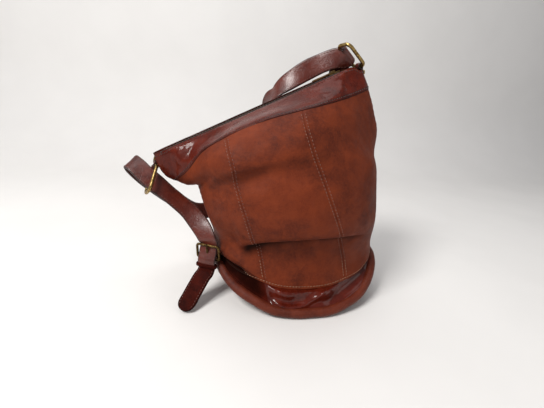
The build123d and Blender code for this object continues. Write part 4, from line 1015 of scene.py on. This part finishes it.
TAIL = [
    (bk(0, -11.0, -5.3), BK_W),
    (bk(0, -17.5, -4.8), BK_W),
    ((-116.1, -37.0, 34.0), (0.89, -0.44, -0.05)),
    ((-120.6, -41.0, 29.0), (0.87, -0.47, -0.12)),
    ((-127.4, -49.0, 19.6), (0.85, -0.48, -0.16)),
    ((-133.8, -57.4, 10.8), (0.86, -0.46, -0.12)),
    ((-140.0, -66.6, 3.2), (0.90, -0.42, -0.06)),
]


def tail_half(s):
    k = np.clip((s - 5.1) / 0.9, 0, 0.995)
    return 10.6 * np.sqrt(np.maximum(0.0, 1 - k ** 2.4))


tail = strap_object("strap_tail_end", TAIL, 0.75, 6.0, 21.2, 2.5, TAIL_SHADED, step=0.8, half=tail_half, seed=9.0)
tail_thread = stitches("tail_stitching", strap_stitch_lines(TAIL, 1.15, 5.62, 21.2, 2.5, half=tail_half, margin=2.4), THREAD_DARK, pitch=3.4, length=2.3, r=0.3, seed=6)

# keeper: loop of doubled leather round the strap
kc = bk(0, -14.9, -5.1)
ang = np.linspace(0, 2 * math.pi, 72, endpoint=False)
kx = 12.25 * np.sign(np.cos(ang)) * np.abs(np.cos(ang)) ** 0.35
ky = 2.75 * np.sign(np.sin(ang)) * np.abs(np.sin(ang)) ** 0.5
loop = []
for a in np.linspace(0, 2 * math.pi, 14, endpoint=False):
    r_t = 2.0 * np.sign(math.cos(a)) * abs(math.cos(a)) ** 0.5
    r_n = 0.72 * np.sign(math.sin(a)) * abs(math.sin(a)) ** 0.7
    loop.append(kc + BK_W * (kx * (1 + r_n / 12.3))[:, None] + BK_N * (ky * (1 + r_n / 2.9))[:, None] + BK_T * r_t)
loop = np.transpose(np.array(loop), (1, 0, 2))
kv = loop.reshape(-1, 3)
kf = []
for i in range(72):
    for j in range(14):
        a, b = i * 14 + j, i * 14 + (j + 1) % 14
        i2 = (i + 1) % 72
        kf.append((a, b, i2 * 14 + (j + 1) % 14, i2 * 14 + j))
# drawn in the tail's darker copy of the strap leather: painted shade
keeper = new_object("keeper_loop", kv * MM, kf, TAIL_SHADED)

# tab under the buckle's lower bar: runs out of the foot seam and folds back
tab_run = [
    (surf(1.9, 0.5) - surf_normal(1.9, 0.5) * 1.2, (0.50, -0.86, -0.10)),
    (surf(1.9, 0.5) + surf_normal(1.9, 0.5) * 0.5, (0.50, -0.86, -0.10)),
    (bk(2.4, -9.2, 14.0), (0.78, -0.62, -0.05)),
    (bk(0.6, -9.8, 7.5), (0.88, -0.47, 0.0)),
    (bk(0, -10.2, 2.7), BK_W),
]
tab_l = strap_object("base_tab_left_strip", tab_run, 0.0, 4.0, 12.0, 2.2, STRAPM, step=0.8, seed=4.0, crown=0.2, ripple=0.15)


def eye_lump(centre, axis, x0, x1, a0, a1, r0, r1, ref, up):
    """Part of a thick-walled roll round an axis."""
    angs = np.linspace(a0, a1, 26)
    xs = np.linspace(x0, x1, 7)
    rows = []
    for a in angs:
        d = ref * math.cos(a) + up * math.sin(a)
        loop_ = []
        for x in xs:
            bulge = 0.18 * (1 - (2 * (x - x0) / (x1 - x0) - 1) ** 2)
            loop_.append(centre + axis * x + d * (r1 - 0.15 + bulge))
        for x in xs[::-1]:
            loop_.append(centre + axis * x + d * r0)
        rows.append(loop_)
    rows = np.array(rows)
    k, m = rows.shape[:2]
    F = grid_faces(k, m, True) + [tuple(range(m - 1, -1, -1)), tuple((k - 1) * m + j for j in range(m))]
    return rows.reshape(-1, 3) * MM, F


bar = bk(0, -9.0, 0)
eyes = merged("base_tab_left_eye", [
    eye_lump(bar, BK_W, 1.8, 6.0, -0.9 * math.pi, 0.98 * math.pi, 1.75, 3.3, BK_N, BK_T),
    eye_lump(bar, BK_W, -6.0, -1.8, -0.9 * math.pi, 0.98 * math.pi, 1.75, 3.3, BK_N, BK_T)], STRAPM)

end_in = np.array([0.6, 0.8, 0.0])
tab_r_st = [
    (surf(0.9, 10.5) + surf_normal(0.9, 10.5) * 0.7, unit([-0.58, 0.74, -0.34])),
    (surf(1.7, 10.5) + surf_normal(1.7, 10.5) * 2.6, unit([-0.68, 0.70, -0.2])),
    (np.array([86.5, 53.0, 64.0]) - end_in * 3.0, unit([-0.78, 0.62, 0.0])),
    (np.array([86.1, 53.3, 76.0]) - end_in * 2.95, unit([-0.80, 0.60, 0.0])),
    (np.array([85.0, 54.4, 88.0]) - end_in * 3.05, unit([-0.81, 0.59, 0.0])),
]
tab_r = strap_object("base_tab_right_strip", tab_r_st, 0.0, 4.0, 18.0, 2.2, STRAPM, step=1.0, seed=6.0, crown=0.2)

# ring tabs: one strip folded round the ring's short bar, both layers riveted
RR_C, RR_L, RR_S = np.array([42.6, -1.4, 286.1]), unit([0.788, 0.236, -0.569]), unit([0.320, -0.946, 0.051])
LR_C, LR_L = np.array([-177.8, -3.5, 137.5]), unit([0.16, 0.66, 0.735])
LR_S = unit(np.array([0.44, -0.70, 0.545]) - np.dot([0.44, -0.70, 0.545], LR_L) * LR_L)


def ring_tab(name, centre, dl, ds, anchor, anchor_w, seed):
    barc = centre + dl * 16.2
    n = unit(np.cross(ds, dl))
    b = np.array(anchor, float)
    d = unit(b - barc)
    nb = unit(np.cross(anchor_w, d))
    if nb @ n < 0:
        nb = -nb
    mid = (barc + b) / 2
    w1 = unit(unit(ds) + 0.5 * unit(anchor_w)) if unit(ds) @ unit(anchor_w) > 0 else unit(unit(ds) - 0.5 * unit(anchor_w))
    wb = unit(anchor_w) if unit(ds) @ unit(anchor_w) > 0 else -unit(anchor_w)
    st = [(b + nb * 0.75 + d * 1.2, wb), (mid + n * 1.1 + dl * 0.6, w1), (barc + dl * 2.6 + n * 1.9, ds)]
    for a in np.radians([70, 110, 145, 180, 215, 250, 290]):
        st.append((barc + dl * (2.95 * math.cos(a)) + n * (2.95 * math.sin(a)), ds))
    st += [(barc + dl * 2.6 - n * 1.9, ds), (mid - n * 1.1 + dl * 0.6, w1), (b - nb * 0.75 + d * 1.2, wb)]
    return strap_object(name, st, 0, len(st) - 1, 6.6, 1.35, STRAPM, step=0.5, seed=seed, crown=0.1, ripple=0.1)


ring_tab_r = ring_tab("ring_tab_right_strip", RR_C, RR_L, RR_S, (58.5, 0.6, 268.0), (0.15, -1.0, 0.1), 3.0)
ring_tab_l = ring_tab("ring_tab_left_strip", LR_C, LR_L, LR_S, (-171.0, 1.0, 164.0), (0.1, -1.0, 0.1), 5.0)

# ------------------------------------------------------------------ stitching
lines_body, lines_dark = [], []
for c0, gap, rows in ((3.0, 1.9, (10.8, 2.1)), (6.0, 2.2, (10.8, 2.1)), (12.0, 2.1, (10.8, 2.1)), (15.0, 2.1, (10.8, 2.1))):
    ss = np.linspace(rows[0], rows[1], 260)
    sv, cv, outer, N, lc, ls = BODY_GRID
    j = int(round(c0 / 18 * len(cv)))
    width_c = np.interp(ss, sv, lc[:, j % len(cv)])
    for side in (-1, 1):
        p, n = on_body(ss, c0 + side * gap / width_c, 0.1)
        (lines_dark if (c0 == 3.0 and side == 1) else lines_body).append((p, n))
low_lines, high_lines = [], []
for pts_, nn_ in lines_body:
    low = pts_[:, 2] < 62
    high_lines.append((pts_[~low], nn_[~low]))
    low_lines.append((pts_[low], nn_[low]))
body_thread = stitches("panel_stitching", high_lines, THREAD_MID, pitch=3.6, length=2.0, r=0.28, seed=11)
body_thread_low = stitches("panel_stitching_low", low_lines, THREAD, pitch=3.6, length=2.1, r=0.3, seed=14)
body_thread_dark = stitches("panel_stitching_dark", lines_dark, THREAD_DARK, pitch=3.6, length=2.0, r=0.26, seed=15)

lines = []
for data in (BANDF, BANDB):
    lines.append(band_line(data, 2.6))
for data in (BANDF, BANDB):
    lines.append(band_line(data, -3.0))
THREAD_BLACK = thread_material("thread_band_black", (46, 22, 16), (28, 14, 11))
band_thread = stitches("band_stitching", lines, THREAD_BLACK, pitch=3.6, length=2.4, r=0.36, seed=12)

cc = np.linspace(0, 18, 900)
p1, n1 = on_body(np.full(900, 2.03), cc, 0.12)
p2, n2 = on_body(np.full(900, 2.17), cc, 0.12)
foot_thread = stitches("foot_seam_stitching", [(p1, n1)], THREAD, pitch=3.5, length=2.3, r=0.3, seed=13)

# woven edge of the zip that stands just above the front lip
fx = np.linspace(9.0, 238.0, 420)
flange_mx = unit(MOUTH_R - MOUTH_L)
flange_mz = unit(np.cross(flange_mx, np.array([0, 1.0, 0])))
flange_o = MOUTH_L - flange_mz * 2.6
wav = 0.25 * fbm(np.stack([fx, fx * 0, fx * 0], 1), 14, 2.0, 2)
top_z = 1.7 + wav - 0.9 * smooth(fx, 222, 238) - 1.5 * (1 - smooth(fx, 5, 14))
yc = -6.75 + 0.2 * fbm(np.stack([fx, fx * 0 + 9, fx * 0], 1), 11, 5.0, 2)
sec = []
for dy, dz in ((-0.55, -3.4), (-0.62, -0.6), (-0.5, -0.12), (-0.2, 0.08), (0.2, 0.08), (0.5, -0.12), (0.6, -0.6), (0.5, -3.4)):
    sec.append(flange_o + fx[:, None] * flange_mx + (yc + dy)[:, None] * np.array([0, 1.0, 0]) + (top_z + dz)[:, None] * flange_mz)
flange = closed_strip("zip_flange_front", np.transpose(np.array(sec), (1, 0, 2)), TAPE)

# ----------------------------------------------------------- CAD nodes that stay
keep_mats = {"ring_left": BRASS, "ring_right": BRASS, "buckle_frame": BRASS_SHADED, "buckle_prong": BRASS_SHADED, "ring_tab_rivets": BRASS,
             "zip_teeth_front": ZIPB, "zip_teeth_back": ZIPB, "zip_end_stops": ZIPB, "zip_slider": ZIPB, "zip_puller": ZIPB,
             "zip_tape_front": TAPE, "zip_tape_back": TAPE, "inner_pocket": LINING}
for name, mat in keep_mats.items():
    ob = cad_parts[name]
    if not ob.data.materials:
        ob.data.materials.append(mat)
    for k in range(len(ob.material_slots)):
        ob.material_slots[k].link = "OBJECT"
        ob.material_slots[k].material = mat

# -------------------------------------------------------------------- riding
for ob in (body, band_front, band_back, foot_front, foot_back, welt, base, strap, strap_thread, keeper, tab_l, eyes, tab_r,
           ring_tab_r, ring_tab_l, body_thread, body_thread_low, body_thread_dark, band_thread, foot_thread, flange):
    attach(ob, "bag")
for ob in (tail, tail_thread):
    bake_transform(ob)

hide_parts("front_left_panel", "front_center_panel", "front_right_panel", "back_left_panel", "back_center_panel", "back_right_panel")
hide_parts("front_top_band")
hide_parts("back_top_band")
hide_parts("front_foot_band")
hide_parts("back_foot_band")
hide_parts("base_welt")
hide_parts("base_panel")
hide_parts("strap_left_run", "strap_left_fold", "strap_back_low", "strap_back_rise", "strap_top_arc", "strap_right_turn", "strap_right_drop")
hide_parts("strap_tail")
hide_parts("strap_keeper")
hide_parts("base_tab_left")
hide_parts("base_tab_right")
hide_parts("ring_tab_right")
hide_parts("ring_tab_left")

# --------------------------------------------------------------------- stage
def plain(name, color, rough):
    m = Net(name)
    col = m.mix(m.remap(m.noise(6, 3), 0.3, 0.7), lin(*color), lin(*[min(255, v + 3) for v in color]))
    m.set(Base_Color=col)
    m.bsdf.inputs["Roughness"].default_value = rough
    return m.mat


FLOOR = plain("stage_floor", (226, 224, 222), 0.7)
yv = [(-3.2, 0.0)] + [(0.55 + 0.35 * math.sin(a), 0.35 - 0.35 * math.cos(a)) for a in np.linspace(0, math.pi / 2, 12)] + [(0.9, 3.0)]
sv_, sf_ = [], []
for k, (y, z) in enumerate(yv):
    sv_ += [(-3.5, y, z - 0.0002), (3.5, y, z - 0.0002)]
    if k:
        a = 2 * (k - 1)
        sf_.append((a, a + 1, a + 3, a + 2))
stage = new_object("stage_cyclorama", sv_, sf_, FLOOR)


def area(name, loc, target, size, power, color=(1, 1, 1)):
    d = bpy.data.lights.new(name, "AREA")
    d.shape = "RECTANGLE"
    d.size, d.size_y = size
    d.energy = power
    d.color = color
    ob = bpy.data.objects.new(name, d)
    ob.location = loc
    ob.rotation_euler = (Vector(target) - Vector(loc)).to_track_quat("-Z", "Y").to_euler()
    scene.collection.objects.link(ob)
    return ob


area("key_window", (-0.85, -0.6, 1.2), (-0.03, 0, 0.13), (0.48, 0.48), 23.0, (1.0, 0.985, 0.96))
area("fill_right", (1.0, -0.8, 0.6), (-0.03, 0, 0.13), (0.8, 0.8), 2.4, (1.0, 0.97, 0.94))
area("top_soft", (0.0, 0.25, 1.5), (-0.03, 0.0, 0.1), (1.2, 0.8), 6.0, (1.0, 1.0, 1.0))

world = bpy.data.worlds.new("studio")
scene.world = world
world.use_nodes = True
bg = world.node_tree.nodes.get("Background") or world.node_tree.nodes.new("ShaderNodeBackground")
bg.inputs["Color"].default_value = (0.93, 0.95, 1.0, 1)
bg.inputs["Strength"].default_value = 0.25
outw = world.node_tree.nodes.get("World Output") or world.node_tree.nodes.new("ShaderNodeOutputWorld")
world.node_tree.links.new(bg.outputs[0], outw.inputs[0])
scene.view_settings.view_transform = "Standard"
scene.view_settings.look = "None"
scene.view_settings.exposure = 0.0

PITCH, ROLL, YAW = math.radians(19.0), math.radians(4.4), math.radians(11.0)
fwd = np.array([math.sin(YAW) * math.cos(PITCH), math.cos(YAW) * math.cos(PITCH), -math.sin(PITCH)])
right = np.array([math.cos(YAW), -math.sin(YAW), 0.0])
upv = np.cross(right, fwd)
rx_ = math.cos(ROLL) * right + math.sin(ROLL) * upv
dn_ = math.sin(ROLL) * right - math.cos(ROLL) * upv
cam_d = bpy.data.cameras.new("camera")
cam_d.sensor_width = 36.0
cam_d.lens = 307.0 / 544.0 * 36.0
cam_d.clip_start = 0.01
cam = bpy.data.objects.new("camera", cam_d)
M = np.eye(4)
M[:3, 0], M[:3, 1], M[:3, 2] = rx_, -dn_, -fwd
M[:3, 3] = np.array([-105.0, -362.2, 235.0]) * MM
cam.matrix_world = Matrix(M.tolist())
scene.collection.objects.link(cam)
scene.camera = cam

bpy.context.view_layer.update()
